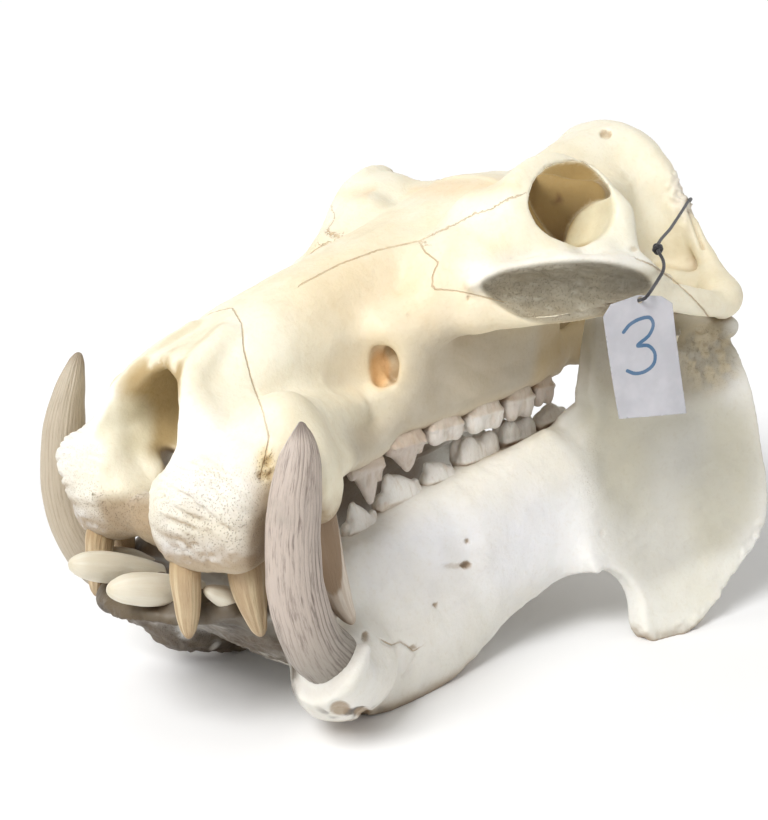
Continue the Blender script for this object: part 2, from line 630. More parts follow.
def photo_places(points):
    """The photograph's pixels that points in millimetres fall on."""
    place, right, up, ahead = camera_axes()
    offset = points - place
    depth = offset @ ahead
    return np.column_stack([
        PHOTO_WIDTH / 2 + CAMERA_FOCAL * (offset @ right) / depth,
        PHOTO_HEIGHT / 2 + CAMERA_SHIFT - CAMERA_FOCAL * (offset @ up) / depth])


def make_camera():
    place, right, up, ahead = camera_axes()
    lens = bpy.data.cameras.new("camera")
    eye = bpy.data.objects.new("camera", lens)
    bpy.context.collection.objects.link(eye)
    turn = Matrix((right, up, -ahead)).transposed().to_4x4()
    turn.translation = (place - (0, MIDDLE_Y, 0)) * MM
    eye.matrix_world = turn
    lens.sensor_fit = "VERTICAL"
    lens.sensor_height = SENSOR
    lens.lens = CAMERA_FOCAL / PHOTO_HEIGHT * SENSOR
    lens.shift_y = CAMERA_SHIFT / PHOTO_HEIGHT
    lens.clip_start = 0.05
    lens.clip_end = 30
    bpy.context.scene.camera = eye


def in_frame(points):
    """Points in millimetres, counted from the front of the jaw, as metres in the frame."""
    return (np.asarray(points, float) - (0, MIDDLE_Y, 0)) * MM


def lumps(points, size, seed):
    """Smooth noise from -1 to 1 with lumps of about one size, in the points' own units."""
    table = np.random.default_rng(seed).uniform(-1, 1, (32, 32, 32))
    places = points / size
    cell = np.floor(places).astype(int)
    part = places - cell
    part = part * part * (3 - 2 * part)
    found = np.zeros(len(points))
    for corner in np.ndindex(2, 2, 2):
        weight = np.prod(np.where(corner, part, 1 - part), axis=1)
        x, y, z = ((cell + corner) % 32).T
        found += weight * table[x, y, z]
    return found


def ease(value, low, high):
    """A smooth step from 0 at low to 1 at high."""
    t = np.clip((value - low) / (high - low), 0, 1)
    return t * t * (3 - 2 * t)


def mesh_from(name, points, faces):
    """A smooth mesh from points in metres and rows of equal length."""
    mesh = bpy.data.meshes.new(name)
    faces = np.asarray(faces, np.int32)
    mesh.vertices.add(len(points))
    mesh.vertices.foreach_set("co", np.asarray(points, np.float32).ravel())
    mesh.loops.add(faces.size)
    mesh.loops.foreach_set("vertex_index", faces.ravel())
    mesh.polygons.add(len(faces))
    mesh.polygons.foreach_set("loop_start", np.arange(0, faces.size, faces.shape[1], dtype=np.int32))
    mesh.update(calc_edges=True)
    mesh.shade_smooth()
    return mesh


def surface(clay):
    """The clay's surface, as points in millimetres and four-sided faces."""
    grid = openvdb.FloatGrid(REACH)
    field = clay.whole() if clay.mirrored else clay.field
    grid.copyFromArray(np.ascontiguousarray(field, np.float32))
    points, quads = grid.convertToQuads(isovalue=0.0)
    corner = np.array([clay.axes[k][0] for k in range(3)])
    if clay.mirrored:
        corner[0] = -(len(clay.axes[0]) - 1) * clay.step
    return points * clay.step + corner, quads


def outward(mesh, filled=False):
    """Turns a mesh's faces outward, with its open ends filled first where asked."""
    work = bmesh.new()
    work.from_mesh(mesh)
    if filled:
        bmesh.ops.holes_fill(work, edges=[edge for edge in work.edges if edge.is_boundary])
    bmesh.ops.recalc_face_normals(work, faces=work.faces[:])
    work.to_mesh(mesh)
    work.free()


def unit(rows):
    """Rows of numbers, each made 1 long."""
    return rows / np.linalg.norm(rows, axis=1)[:, None]


def vertex_data(mesh):
    """Places in millimetres and normals of a mesh in the frame."""
    count = len(mesh.vertices)
    places = np.empty(count * 3, np.float32)
    normals = np.empty(count * 3, np.float32)
    mesh.vertices.foreach_get("co", places)
    mesh.vertex_normals.foreach_get("vector", normals)
    return places.reshape(-1, 3) / MM + (0, MIDDLE_Y, 0), normals.reshape(-1, 3)


def give(mesh, name, values):
    """Stores a number or a colour or a direction for each vertex."""
    values = np.asarray(values, np.float32)
    if values.ndim == 1:
        mesh.attributes.new(name, "FLOAT", "POINT").data.foreach_set("value", values)
    else:
        mesh.attributes.new(name, "FLOAT_VECTOR", "POINT").data.foreach_set("vector", values.ravel())


def finished(name, mesh, look, slot, *nodes):
    """The piece of a mesh, which stands for its nodes."""
    piece = bpy.data.objects.new(name, mesh)
    bpy.context.collection.objects.link(piece)
    mesh.materials.clear()
    mesh.materials.append(look)
    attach(piece, "root")
    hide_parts(*nodes)
    return piece


def long_tooth_mesh(name, rows, seed, rings_count=96, sides=64, lengthwise=0.35, grooves=0, wear=()):
    """A tusk, canine or incisor: swept round its path, grooved lengthwise, with a rounded or worn tip."""
    dense = curved(rows, 40 * len(rows))
    steps = np.linalg.norm(np.diff(dense[:, :3], axis=0), axis=1)
    along = np.concatenate([[0], np.cumsum(steps)])
    length = along[-1]
    tip = dense[-1, 3:].max()
    reach = length + 0.6 * tip
    places = reach * (1 - (1 - np.linspace(0, 1, rings_count)) ** 1.35)
    path = np.column_stack([np.interp(np.minimum(places, length), along, column) for column in dense.T])
    heading = (dense[-1, :3] - dense[-5, :3]) / np.linalg.norm(dense[-1, :3] - dense[-5, :3])
    past = np.maximum(places - length, 0)
    path[:, :3] += past[:, None] * heading
    left = np.clip((reach - places) / (1.6 * tip), 0, 1)
    path[:, 3:] *= np.sqrt(1 - (1 - left) ** 2)[:, None]
    whole_run = dense[-1, :3] - dense[0, :3]
    up = (0, 1, 0) if abs(whole_run[2]) > abs(whole_run[1]) else (0, 0, 1)
    run = unit(np.gradient(path[:, :3], axis=0))
    across = unit(np.cross(run, up))
    beside = np.cross(across, run)
    turns = np.arange(sides) * 2 * math.pi / sides
    wide, deep = np.cos(turns), np.sin(turns)
    points = (
        path[:, None, :3] + wide[None, :, None] * path[:, None, 3:4] * across[:, None]
        + deep[None, :, None] * path[:, None, 4:5] * beside[:, None])
    size = path[:, 3:].mean(axis=1)
    streak = np.stack([
        np.broadcast_to(wide, (rings_count, sides)) * 20, np.broadcast_to(deep, (rings_count, sides)) * 20,
        np.broadcast_to(places[:, None] * 0.12, (rings_count, sides))], axis=2).reshape(-1, 3)
    spin = np.tile(turns, rings_count)
    combed = 0.5 - 0.5 * np.cos(grooves * spin + 2.4 * lumps(streak, 6, seed + 5))
    combed = 1 - (1 - combed) * (0.7 + 0.3 * lumps(streak, 9, seed + 6)) if grooves else combed
    ribs = lumps(streak, 2.6, seed) + 0.6 * lumps(streak, 1.3, seed + 1)
    ribs = ribs + 0.8 * (combed - 0.5) * (grooves > 0)
    out = points - path[:, None, :3]
    out = out / (np.linalg.norm(out, axis=2, keepdims=True) + 1e-6)
    points = points + out * (lengthwise * ribs * np.repeat(np.clip(size / 8, 0, 1), sides)).reshape(
        rings_count, sides, 1)
    points = points.reshape(-1, 3)
    points = points + 0.5 * np.column_stack([lumps(points, 17, seed + k) for k in (2, 3, 4)])
    worn = np.zeros(len(points))
    for place, normal, softness in wear:
        normal = np.array(normal, float) / np.linalg.norm(normal)
        over = (points - place) @ normal
        worn = np.maximum(worn, ease(over, -1.0, 0.6))
        points = points - np.maximum(over, 0)[:, None] * normal * (1 - softness)
    index = np.arange(rings_count * sides).reshape(rings_count, sides)
    after = np.roll(index, -1, axis=1)
    faces = np.stack([index[:-1], after[:-1], after[1:], index[1:]], axis=2).reshape(-1, 4)
    mesh = mesh_from(name, in_frame(points), faces)
    outward(mesh, filled=True)
    give(mesh, "streak", streak)
    give(mesh, "height", np.repeat(places / reach, sides))
    give(mesh, "worn", worn)
    give(mesh, "combed", combed)
    return mesh


def cheek_tooth_clay(front, back, gum, tip, point, x, half_width):
    """A function that builds a cheek tooth: a pointed crown with side cusps, or four worn cusps."""
    half_length = (back - front) / 2
    middle = (back + front) / 2
    tall = tip - gum
    away = -math.copysign(CHEEK_TOOTH_ROOT, tall)
    pointed = half_width <= 12 or abs(tall) > 25

    def build(clay):
        for end in (-0.5, 0.5):
            clay.add(limb([
                (x, middle + end * half_length, gum + away, half_width * 0.5, half_length * 0.32),
                (x, middle + end * half_length, gum + tall * 0.12, half_width * 0.8, half_length * 0.5)],
                up=(0, 1, 0)), 3)
        if pointed:
            lean = point - middle
            clay.add(limb([
                (x, middle, gum + tall * 0.06, half_width * 0.9, half_length * 0.88),
                (x, middle + lean * 0.3, gum + tall * 0.36, half_width * 0.82, half_length * 0.62),
                (x, middle + lean * 0.75, gum + tall * 0.68, half_width * 0.52, half_length * 0.38),
                (x, middle + lean, gum + tall * 0.94, half_width * 0.25, half_length * 0.17)],
                up=(0, 1, 0)), 3)
            for end, high in ((-0.8, 0.28), (0.72, 0.46)):
                clay.add(limb([
                    (x, middle + end * half_length, gum + tall * 0.05, half_width * 0.75, half_length * 0.3),
                    (x, middle + end * half_length, gum + tall * high, half_width * 0.4,
                     half_length * 0.16)], up=(0, 1, 0)), 1.6)
        else:
            clay.add(limb([
                (x, middle, gum, half_width * 0.92, half_length * 0.92),
                (x, middle, gum + tall * 0.4, half_width * 0.84, half_length * 0.84)],
                up=(0, 1, 0), power=2.5), 3)
            for end in (-0.5, 0.5):
                for side in (-0.42, 0.42):
                    place = (x + side * half_width, middle + end * half_length)
                    clay.add(limb([
                        (*place, gum + tall * 0.2, half_width * 0.52, half_length * 0.46),
                        (*place, gum + tall * 0.62, half_width * 0.48, half_length * 0.42),
                        (*place, gum + tall * 0.86, half_width * 0.36, half_length * 0.3),
                        (*place, gum + tall * 1.0, half_width * 0.18, half_length * 0.15)], up=(0, 1, 0)), 2)
            level = gum + tall
            clay.cut(ball((x, middle, level + math.copysign(30, tall)), (40, half_length + 20, 30)), 1)
        cut_side = half_width * 1.06
        clay.cut(limb([
            (x + cut_side, middle + 0.06 * half_length, gum + tall * 0.35, 0.9, 1.2),
            (x + cut_side * 0.96, middle + 0.06 * half_length, gum + tall * 1.0, 1.8, 2.0)],
            up=(0, 1, 0)), 2.5)
        inner = x + half_width * 0.42
        clay.add(limb([
            (inner, middle - half_length * 0.8, gum + tall * 0.12, half_width * 0.5, 2.2),
            (inner, middle + half_length * 0.8, gum + tall * 0.14, half_width * 0.5, 2.2)]), 3)

    low = (x - half_width - 6, front - 4, min(gum + away, tip) - 10)
    high = (x + half_width + 6, back + 4, max(gum + away, tip) + 10)
    return build, low, high


def cheek_tooth_mesh(name, side, sizes, seed, stained):
    """A cheek tooth's mesh, its enamel wrinkled from root to crown."""
    build, low, high = cheek_tooth_clay(*sizes)
    clay = Clay(low, high, TOOTH_GRAIN, mirrored=False)
    build(clay)
    points, faces = surface(clay)
    if side < 0:
        points = points * (-1, 1, 1)
        faces = faces[:, ::-1]
    gum, tip = sizes[2], sizes[3]
    height = (points[:, 2] - gum) / (tip - gum)
    middle = points[:, :2].mean(axis=0)
    out = points - (*middle, 0)
    out[:, 2] = 0
    out = out / (np.linalg.norm(out, axis=1)[:, None] + 1)
    tall = points * (1, 1, 0.22)
    wrinkle = 0.6 * lumps(tall, 2.6, seed) + 0.45 * lumps(points, 5, seed + 1)
    points = points + out * wrinkle[:, None]
    mesh = mesh_from(name, in_frame(points), faces)
    give(mesh, "height", height)
    give(mesh, "streak", tall)
    give(mesh, "stained", np.full(len(points), stained))
    return mesh


def stroke_distance(points, stroke):
    """How far flat points lie from a line through points."""
    best = np.full(len(points), 1e9)
    for start, end in zip(stroke[:-1], stroke[1:]):
        run = end - start
        t = np.clip(((points - start) @ run) / (run @ run), 0, 1)
        best = np.minimum(best, np.linalg.norm(points - start - t[:, None] * run, axis=1))
    return best


def tag_mesh():
    """The paper tag, slightly curled, with its hole and its clipped corners, and the ink of its numeral."""
    outline = np.array(TAG_OUTLINE, float)
    low, high = outline.min(axis=0) - 1, outline.max(axis=0) + 1
    counts = ((high - low) / TAG_GRAIN).astype(int) + 1
    u, v = np.meshgrid(*(low[k] + TAG_GRAIN * np.arange(counts[k]) for k in range(2)), indexing="ij")
    edge = outline_distance(outline, u, v)
    hole = TAG_HOLE_RADIUS - np.hypot(u, v)
    gap = np.maximum(edge, hole)
    slope = np.stack(np.gradient(gap, TAG_GRAIN), axis=2)
    slope = slope / (np.linalg.norm(slope, axis=2, keepdims=True) + 1e-6)
    near = np.abs(gap) < TAG_GRAIN * 0.75
    flat = np.stack([u, v], axis=2)
    flat[near] -= (gap[..., None] * slope)[near]
    kept = gap < TAG_GRAIN * 0.75
    cells = kept[:-1, :-1] & kept[1:, :-1] & kept[1:, 1:] & kept[:-1, 1:]
    index = np.arange(u.size).reshape(u.shape)
    faces = np.stack([index[:-1, :-1], index[1:, :-1], index[1:, 1:], index[:-1, 1:]], axis=2)[cells]
    used, faces = np.unique(faces, return_inverse=True)
    faces = faces.reshape(-1, 4)
    flat = flat.reshape(-1, 2)[used]
    ink = stroke_distance(flat, curved([(*spot, 0) for spot in NUMERAL], 60)[:, :2])
    u, v = flat.T
    curl = TAG_CURL * ((v + 50) / 50) ** 2 - TAG_CURL * 0.5 + 0.6 * np.sin(u / 13) * np.clip(-v / 60, 0, 1)
    curl = curl * ease(np.hypot(u, v), 2, 24)
    turn = math.radians(90 - TAG_TURN)
    along = np.array([math.cos(turn), math.sin(turn), 0])
    out = np.array([math.sin(turn), -math.cos(turn), 0])
    points = np.array(TAG_HOLE) + u[:, None] * along + v[:, None] * (0, 0, 1)
    front = points + (curl + TAG_THICK / 2)[:, None] * out
    back = points + (curl - TAG_THICK / 2)[:, None] * out
    count = len(points)
    links = {}
    for a, b in np.concatenate([faces[:, [k, (k + 1) % 4]] for k in range(4)]):
        links[(a, b)] = True
    sides = np.array([(b, a, a + count, b + count) for a, b in links if (b, a) not in links])
    mesh = mesh_from("tag_looks", in_frame(np.concatenate([front, back])), np.concatenate([
        faces, faces[:, ::-1] + count, sides]))
    outward(mesh)
    give(mesh, "ink", np.concatenate([ink, np.full(count, 9.0)]))
    give(mesh, "flat", np.column_stack([*np.tile(flat, (2, 1)).T, np.zeros(2 * count)]))
    return mesh


def string_curve(route):
    """The string's curve in metres, through the route's points in the frame."""
    line = bpy.data.curves.new("string_looks", "CURVE")
    line.dimensions = "3D"
    line.bevel_depth = STRING_RADIUS * MM
    line.bevel_resolution = 4
    line.use_fill_caps = True
    spline = line.splines.new("POLY")
    spline.points.add(len(route) - 1)
    for spot, place in zip(spline.points, route):
        spot.co = (*place, 1)
    return line


def knot_mesh(before, after):
    """An overhand knot's two crossing turns round the string."""
    run = (after - before) / np.linalg.norm(after - before)
    centre = (before + after) / 2
    across = np.cross(run, (0, 0, 1))
    across = across / np.linalg.norm(across)
    above = np.cross(across, run)
    turns = np.linspace(0, 2 * math.pi, 97)[:-1]
    ring = KNOT_RADIUS - KNOT_STRAND
    path = (
        centre + np.outer(np.cos(2 * turns) * (ring + 0.35 * np.cos(3 * turns)), across)
        + np.outer(np.sin(2 * turns) * (ring + 0.35 * np.cos(3 * turns)), above)
        + np.outer(np.sin(3 * turns + 0.6) * KNOT_LENGTH * 0.34, run))
    ahead = unit(np.roll(path, -1, axis=0) - np.roll(path, 1, axis=0))
    side = unit(np.cross(ahead, path - centre))
    out = np.cross(side, ahead)
    sides = 14
    spin = np.arange(sides) * 2 * math.pi / sides
    points = path[:, None] + KNOT_STRAND * (
        np.cos(spin)[None, :, None] * out[:, None] + np.sin(spin)[None, :, None] * side[:, None])
    index = np.arange(points.shape[0] * sides).reshape(-1, sides)
    after_ring = np.roll(index, -1, axis=0)
    faces = np.stack([
        index, after_ring, np.roll(after_ring, -1, axis=1), np.roll(index, -1, axis=1)], axis=2)
    mesh = mesh_from("knot_looks", in_frame(points.reshape(-1, 3)), faces.reshape(-1, 4))
    outward(mesh)
    return mesh


class Look:
    """A material's nodes, with short words for the common ones."""

    def __init__(self, name, roughness, **sockets):
        self.material = bpy.data.materials.new(name)
        self.material.use_nodes = True
        self.tree = self.material.node_tree
        self.shader = self.tree.nodes["Principled BSDF"]
        self.shader.inputs["Roughness"].default_value = roughness
        for label, value in sockets.items():
            self.shader.inputs[label.replace("_", " ")].default_value = value

    def node(self, kind, settings=(), **links):
        found = self.tree.nodes.new(kind)
        for key, value in dict(settings).items():
            setattr(found, key, value)
        for label, value in links.items():
            self.feed(found.inputs[self.socket(label)], value)
        return found

    def socket(self, label):
        if label.startswith("n") and label[1:].isdigit():
            return int(label[1:])
        return label.replace("_", " ")

    def feed(self, socket, value):
        if isinstance(value, bpy.types.NodeSocket):
            self.tree.links.new(value, socket)
        elif value is not None:
            socket.default_value = value

    def place(self):
        return self.node("ShaderNodeTexCoord").outputs["Object"]

    def stored(self, name, output="Fac"):
        return self.node("ShaderNodeAttribute", {"attribute_name": name}).outputs[output]

    def noise(self, vector, scale, detail=3, roughness=0.55, distortion=0):
        return self.node(
            "ShaderNodeTexNoise", Vector=vector, Scale=scale, Detail=detail, Roughness=roughness,
            Distortion=distortion).outputs["Fac"]

    def cells(self, vector, scale):
        return self.node("ShaderNodeTexVoronoi", Vector=vector, Scale=scale).outputs["Distance"]

    def maths(self, operation, first, second=None, third=None):
        return self.node("ShaderNodeMath", {"operation": operation}, n0=first, n1=second, n2=third).outputs[0]

    def between(self, value, low, high, start=0.0, end=1.0):
        """The value eased from start at low to end at high."""
        return self.node(
            "ShaderNodeMapRange", {"interpolation_type": "SMOOTHSTEP"}, Value=value, From_Min=low,
            From_Max=high, To_Min=start, To_Max=end).outputs[0]

    def mixed(self, share, first, second, blend="MIX"):
        found = self.node("ShaderNodeMix", {"data_type": "RGBA", "blend_type": blend})
        for spot, value in ((0, share), (6, first), (7, second)):
            if isinstance(value, tuple):
                value = (*value, 1)
            self.feed(found.inputs[spot], value)
        return found.outputs[2]

    def hollow(self, distance):
        """1 where the surface is open and less in its hollows."""
        found = self.node("ShaderNodeAmbientOcclusion", {"samples": 8}, Distance=distance)
        return found.outputs["AO"]

    def raised(self, height, depth, after=None, strength=1.0):
        found = self.node(
            "ShaderNodeBump", Height=height, Distance=depth, Strength=strength)
        if after is not None:
            self.feed(found.inputs["Normal"], after)
        return found.outputs["Normal"]

    def end(self, colour, normal=None, roughness=None):
        self.feed(self.shader.inputs["Base Color"], colour)
        if normal is not None:
            self.feed(self.shader.inputs["Normal"], normal)
        if roughness is not None:
            self.feed(self.shader.inputs["Roughness"], roughness)
        return self.material


def bone_look(name, tone, cool):
    """Dry bone: pale, mottled and stained, brown in its hollows, with fine pores and grain."""
    look = Look(name, 0.55, Subsurface_Weight=0.06, Subsurface_Scale=0.004, IOR=1.5)
    look.shader.inputs["Subsurface Radius"].default_value = (1.0, 0.6, 0.35)
    place = look.place()
    paint = look.stored("paint", "Color")
    broad = look.noise(place, 9, 4, 0.6)
    blotch = look.noise(place, 34, 5, 0.62, 0.4)
    fine = look.noise(place, 260, 4, 0.6)
    pores = look.cells(place, 620)
    colour = look.mixed(look.between(broad, 0.35, 0.7), paint, tone, "MULTIPLY")
    colour = look.mixed(look.between(blotch, 0.45, 0.72, 0, 0.5), colour, cool, "MULTIPLY")
    colour = look.mixed(look.between(fine, 0.5, 0.75, 0, 0.25), colour, (0.86, 0.8, 0.7), "MULTIPLY")
    rough = look.stored("rough")
    pitted = look.maths("MULTIPLY", look.between(pores, 0.05, 0.4, 1, 0), look.between(rough, 0.05, 0.8))
    colour = look.mixed(look.maths("MULTIPLY", pitted, 0.5), colour, (0.55, 0.45, 0.33), "MULTIPLY")
    open_air = look.hollow(0.03)
    deep = look.between(open_air, 0.25, 0.85, 1, 0)
    colour = look.mixed(look.maths("MULTIPLY", deep, 0.75), colour, (0.5, 0.38, 0.26), "MULTIPLY")
    line = look.node("ShaderNodeSeparateXYZ", Vector=look.stored("line", "Vector"))
    signed, close, jagged = line.outputs
    jag = look.maths("SUBTRACT", look.noise(place, 300, 2), 0.5)
    jag = look.maths("MULTIPLY", jag, look.maths("MULTIPLY_ADD", jagged, 4, 1.4))
    away = look.maths("ABSOLUTE", look.maths("ADD", signed, jag))
    thread = look.maths("MULTIPLY", look.between(away, 0.25, 1.0, 1, 0), close)
    thread = look.maths("MULTIPLY", thread, look.between(blotch, 0.3, 0.6, 0.45, 1))
    colour = look.mixed(look.maths("MULTIPLY", thread, 0.7), colour, (0.5, 0.33, 0.16))
    bump = look.raised(blotch, 0.0009)
    bump = look.raised(fine, 0.00035, bump)
    bump = look.raised(pitted, -0.0007, bump)
    bump = look.raised(thread, -0.0009, bump)
    return look.end(colour, bump, look.between(fine, 0.3, 0.8, 0.46, 0.66))


def streaked_look(name, pale, dark, low, gloss, strength=0.8, chipped=(0.3, 0.19, 0.1)):
    """Ivory: streaked lengthwise, darker in its grooves and towards its root."""
    look = Look(name, gloss, Subsurface_Weight=0.05, Subsurface_Scale=0.003, IOR=1.52)
    look.shader.inputs["Subsurface Radius"].default_value = (1.0, 0.6, 0.35)
    place = look.place()
    streak = look.stored("streak", "Vector")
    height = look.stored("height")
    wide = look.noise(streak, 0.22, 3, 0.6)
    thin = look.noise(streak, 0.7, 4, 0.65)
    patch = look.noise(place, 26, 4, 0.6)
    colour = look.mixed(look.between(height, 0.12, 0.5), low, pale)
    streaks = look.maths("ADD", look.maths("MULTIPLY", wide, 0.5), look.maths("MULTIPLY", thin, 0.5))
    colour = look.mixed(look.between(streaks, 0.34, 0.52, strength * 0.8, 0), colour, dark)
    combed = look.between(look.stored("combed"), 0.5, 0.06, 0, strength)
    colour = look.mixed(look.maths("MULTIPLY", combed, look.between(patch, 0.3, 0.6, 0.55, 1)), colour, dark)
    colour = look.mixed(look.between(patch, 0.55, 0.75, 0, 0.3), colour, low)
    colour = look.mixed(look.between(height, 0.93, 1.0, 0, 0.6), colour, dark)
    colour = look.mixed(look.maths("MULTIPLY", look.stored("worn"), 0.85), colour, chipped)
    deep = look.between(look.hollow(0.02), 0.15, 0.75, 1, 0)
    colour = look.mixed(look.maths("MULTIPLY", deep, 0.7), colour, (0.45, 0.32, 0.2), "MULTIPLY")
    bump = look.raised(thin, 0.0006)
    bump = look.raised(look.noise(place, 420, 3), 0.0002, bump)
    return look.end(colour, bump, look.between(thin, 0.3, 0.7, gloss + 0.12, gloss - 0.06))


def enamel_look(name):
    """Cheek-tooth enamel: off-white to lilac grey, brown in its grooves and at the gum."""
    look = Look(name, 0.34, Subsurface_Weight=0.05, Subsurface_Scale=0.002, IOR=1.55)
    place = look.place()
    height = look.stored("height")
    tall = look.stored("streak", "Vector")
    stained = look.stored("stained")
    wide = look.noise(tall, 0.16, 4, 0.55)
    fine = look.noise(tall, 0.8, 3, 0.6)
    colour = look.mixed(stained, (0.88, 0.86, 0.8), (0.5, 0.41, 0.34))
    colour = look.mixed(look.between(wide, 0.5, 0.7, 0, 0.4), colour, (0.7, 0.58, 0.44), "MULTIPLY")
    colour = look.mixed(look.between(fine, 0.52, 0.75, 0, 0.3), colour, (0.7, 0.6, 0.5), "MULTIPLY")
    colour = look.mixed(look.between(height, 0.02, 0.22, 0.45, 0), colour, (0.5, 0.37, 0.24))
    deep = look.between(look.hollow(0.008), 0.15, 0.65, 1, 0)
    colour = look.mixed(look.maths("MULTIPLY", deep, 0.8), colour, (0.38, 0.26, 0.17), "MULTIPLY")
    bump = look.raised(fine, 0.0004)
    bump = look.raised(look.noise(place, 600, 3), 0.0002, bump)
    return look.end(colour, bump, look.between(fine, 0.3, 0.8, 0.28, 0.5))


def paper_look():
    """White paper, faintly fibrous, with the steel-blue ink of its numeral."""
    look = Look("paper_look", 0.82, Subsurface_Weight=0.05, Subsurface_Scale=0.001)
    place = look.place()
    fibre = look.noise(place, 900, 4, 0.7)
    cloud = look.noise(place, 40, 3)
    colour = look.mixed(look.between(cloud, 0.3, 0.7), (0.54, 0.53, 0.555), (0.46, 0.455, 0.48))
    ink = look.maths("ADD", look.stored("ink"), look.maths("MULTIPLY_ADD", fibre, 0.7, -0.35))
    inked = look.between(ink, INK_HALF - 0.25, INK_HALF + 0.25, 1, 0)
    colour = look.mixed(look.maths("MULTIPLY", inked, look.between(cloud, 0.2, 0.8, 0.75, 1)), colour,
                        (0.05, 0.13, 0.24))
    return look.end(colour, look.raised(fibre, 0.00012))


def thread_look():
    """Dark, faintly fuzzy thread."""
    look = Look("thread_look", 0.85, Sheen_Weight=0.3)
    place = look.place()
    lay = look.noise(place, 700, 3, 0.6)
    colour = look.mixed(look.between(lay, 0.3, 0.75), (0.012, 0.011, 0.014), (0.06, 0.055, 0.06))
    return look.end(colour, look.raised(lay, 0.0004))


def floor_look():
    """A plain, nearly white floor that glows white away from the object."""
    look = Look("floor_look", 0.9, Emission_Color=(1, 1, 1, 1))
    away = look.node("ShaderNodeVectorMath", {"operation": "LENGTH"}, n0=look.place()).outputs["Value"]
    look.feed(look.shader.inputs["Emission Strength"], look.between(away, 0.45, 1.3, 0, 1.02))
    return look.end(look.mixed(look.between(away, 0.45, 1.3), (0.97, 0.97, 0.97), (0, 0, 0)))


# Places on the left side as the photograph's camera sees them, in its pixels. Both sides get the same.
SOCKET_DARK = [(527, 190), (540, 172), (560, 163), (582, 163), (599, 176), (611, 196), (592, 203),
               (576, 215), (567, 230), (563, 243), (553, 237), (540, 222), (530, 205)]
SOCKET_DEPTHS = (1040, 1112)
SCAR = [(481, 287), (500, 273), (530, 266), (565, 262), (600, 262), (634, 270), (652, 284), (640, 300),
        (596, 314), (568, 321), (531, 321), (503, 306)]
PREMAXILLA_LINE = [(233, 309), (242, 324), (244, 350), (252, 381), (263, 412), (269, 437), (266, 454),
                   (261, 474)]
BROW_LINE = [(300, 285), (340, 264), (379, 250), (419, 241), (440, 231), (458, 223), (476, 213),
             (492, 209), (504, 201), (520, 195)]
FACE_LINE = [(419, 241), (425, 252), (439, 262), (433, 274), (432, 289), (457, 291), (480, 296), (504, 302)]
ARCH_LINE = [(637, 259), (652, 265), (672, 279), (690, 295), (703, 309), (709, 318)]
SLIT = [(691, 208), (696, 226), (702, 247)]
JAW_CRACK = [(383, 641), (391, 645), (400, 642), (407, 646), (413, 651), (417, 649)]
JAW_SCRATCH = [(417, 653), (411, 664), (402, 676)]
SHEATH_CRACK = [(319, 511), (327, 513), (336, 511)]
SKULL_PITS = [
    ((606, 134), (5.5, 4), 5), ((626, 177), (5, 5), 0.9), ((618, 222), (5, 6), 0.8), ((468, 298), (2, 2), 2),
    ((634, 249), (4, 3), 1.6), ((268, 462), (4, 5), 2.6), ((263, 476), (4, 4), 2.2), ((270, 476), (3, 4), 2)]
JAW_PITS = [
    ((467, 541), (2.2, 2.2), 2.5), ((466, 565), (4.5, 3.5), 4), ((455, 566), (13, 3), 1.4),
    ((435, 605), (2.6, 2.2), 2.5), ((413, 647), (3, 3), 2), ((365, 636), (3, 5), 3.5),
    ((340, 708), (10, 7), 3), ((362, 712), (8, 5), 2.5), ((602, 533), (3, 4), 1)]

# Outlines of patches of colour and relief, and two lines, in the same pixels. NOSE_SHOWN and CHIN mark
# what the photograph shows on either side, and the others are the same on both sides.
FOREHEAD_WARM = [(380, 182), (480, 178), (520, 186), (470, 196), (380, 196)]
LOBE_PALE = [(178, 400), (240, 430), (262, 470), (262, 560), (150, 590), (140, 540), (165, 470)]
ARCH_PALE = [(470, 262), (560, 250), (640, 250), (640, 268), (540, 266), (478, 290)]
TEMPLE_WARM = [(600, 190), (660, 200), (690, 250), (650, 260), (600, 240)]
UNDER_ARCH = [(400, 392), (425, 345), (470, 318), (530, 326), (600, 322), (604, 400), (560, 410),
              (480, 420), (400, 446), (350, 480), (330, 470), (352, 430)]
KNOB = [(546, 322), (600, 316), (600, 362), (566, 368), (548, 392), (532, 396), (538, 350)]
SCAR_FOOT = [(500, 300), (560, 312), (640, 292), (650, 304), (560, 326), (496, 316)]
LAMINA = [(566, 246), (577, 216), (592, 204), (612, 196), (616, 214), (608, 232), (588, 243)]
NOSE_SHOWN = [(174, 350), (146, 358), (118, 380), (104, 396), (128, 398), (146, 402), (152, 430),
              (146, 470), (150, 515), (158, 505), (186, 420), (196, 390)]
JAGGED = [(430, 190), (530, 185), (530, 215), (430, 240)]
CHIN = [(84, 594), (120, 608), (200, 628), (286, 640), (300, 672), (250, 740), (60, 680)]
JAW_PALE = [(330, 545), (430, 545), (480, 610), (410, 680), (380, 690), (372, 620)]
RAMUS_RIDGED = [(570, 400), (640, 390), (720, 380), (755, 450), (745, 530), (690, 590), (640, 560),
                (600, 520)]
RAMUS_GREY = [(576, 380), (640, 392), (720, 388), (762, 450), (752, 520), (700, 590), (640, 580),
              (600, 540), (584, 460)]
RAMUS_BROWN = [(590, 395), (640, 405), (690, 418), (660, 440), (650, 480), (640, 520), (606, 500),
               (592, 440)]
RAMUS_BACK = [(700, 400), (745, 420), (760, 480), (735, 540), (700, 560), (690, 500), (705, 450)]
RAMUS_TOP = [(580, 318), (720, 316), (736, 370), (690, 400), (600, 396)]
ANGLE_PALE = [(640, 600), (700, 560), (745, 560), (700, 625), (650, 640)]
ANGLE_LINE = [(762, 520), (735, 585), (700, 620), (665, 636), (640, 636), (622, 622)]
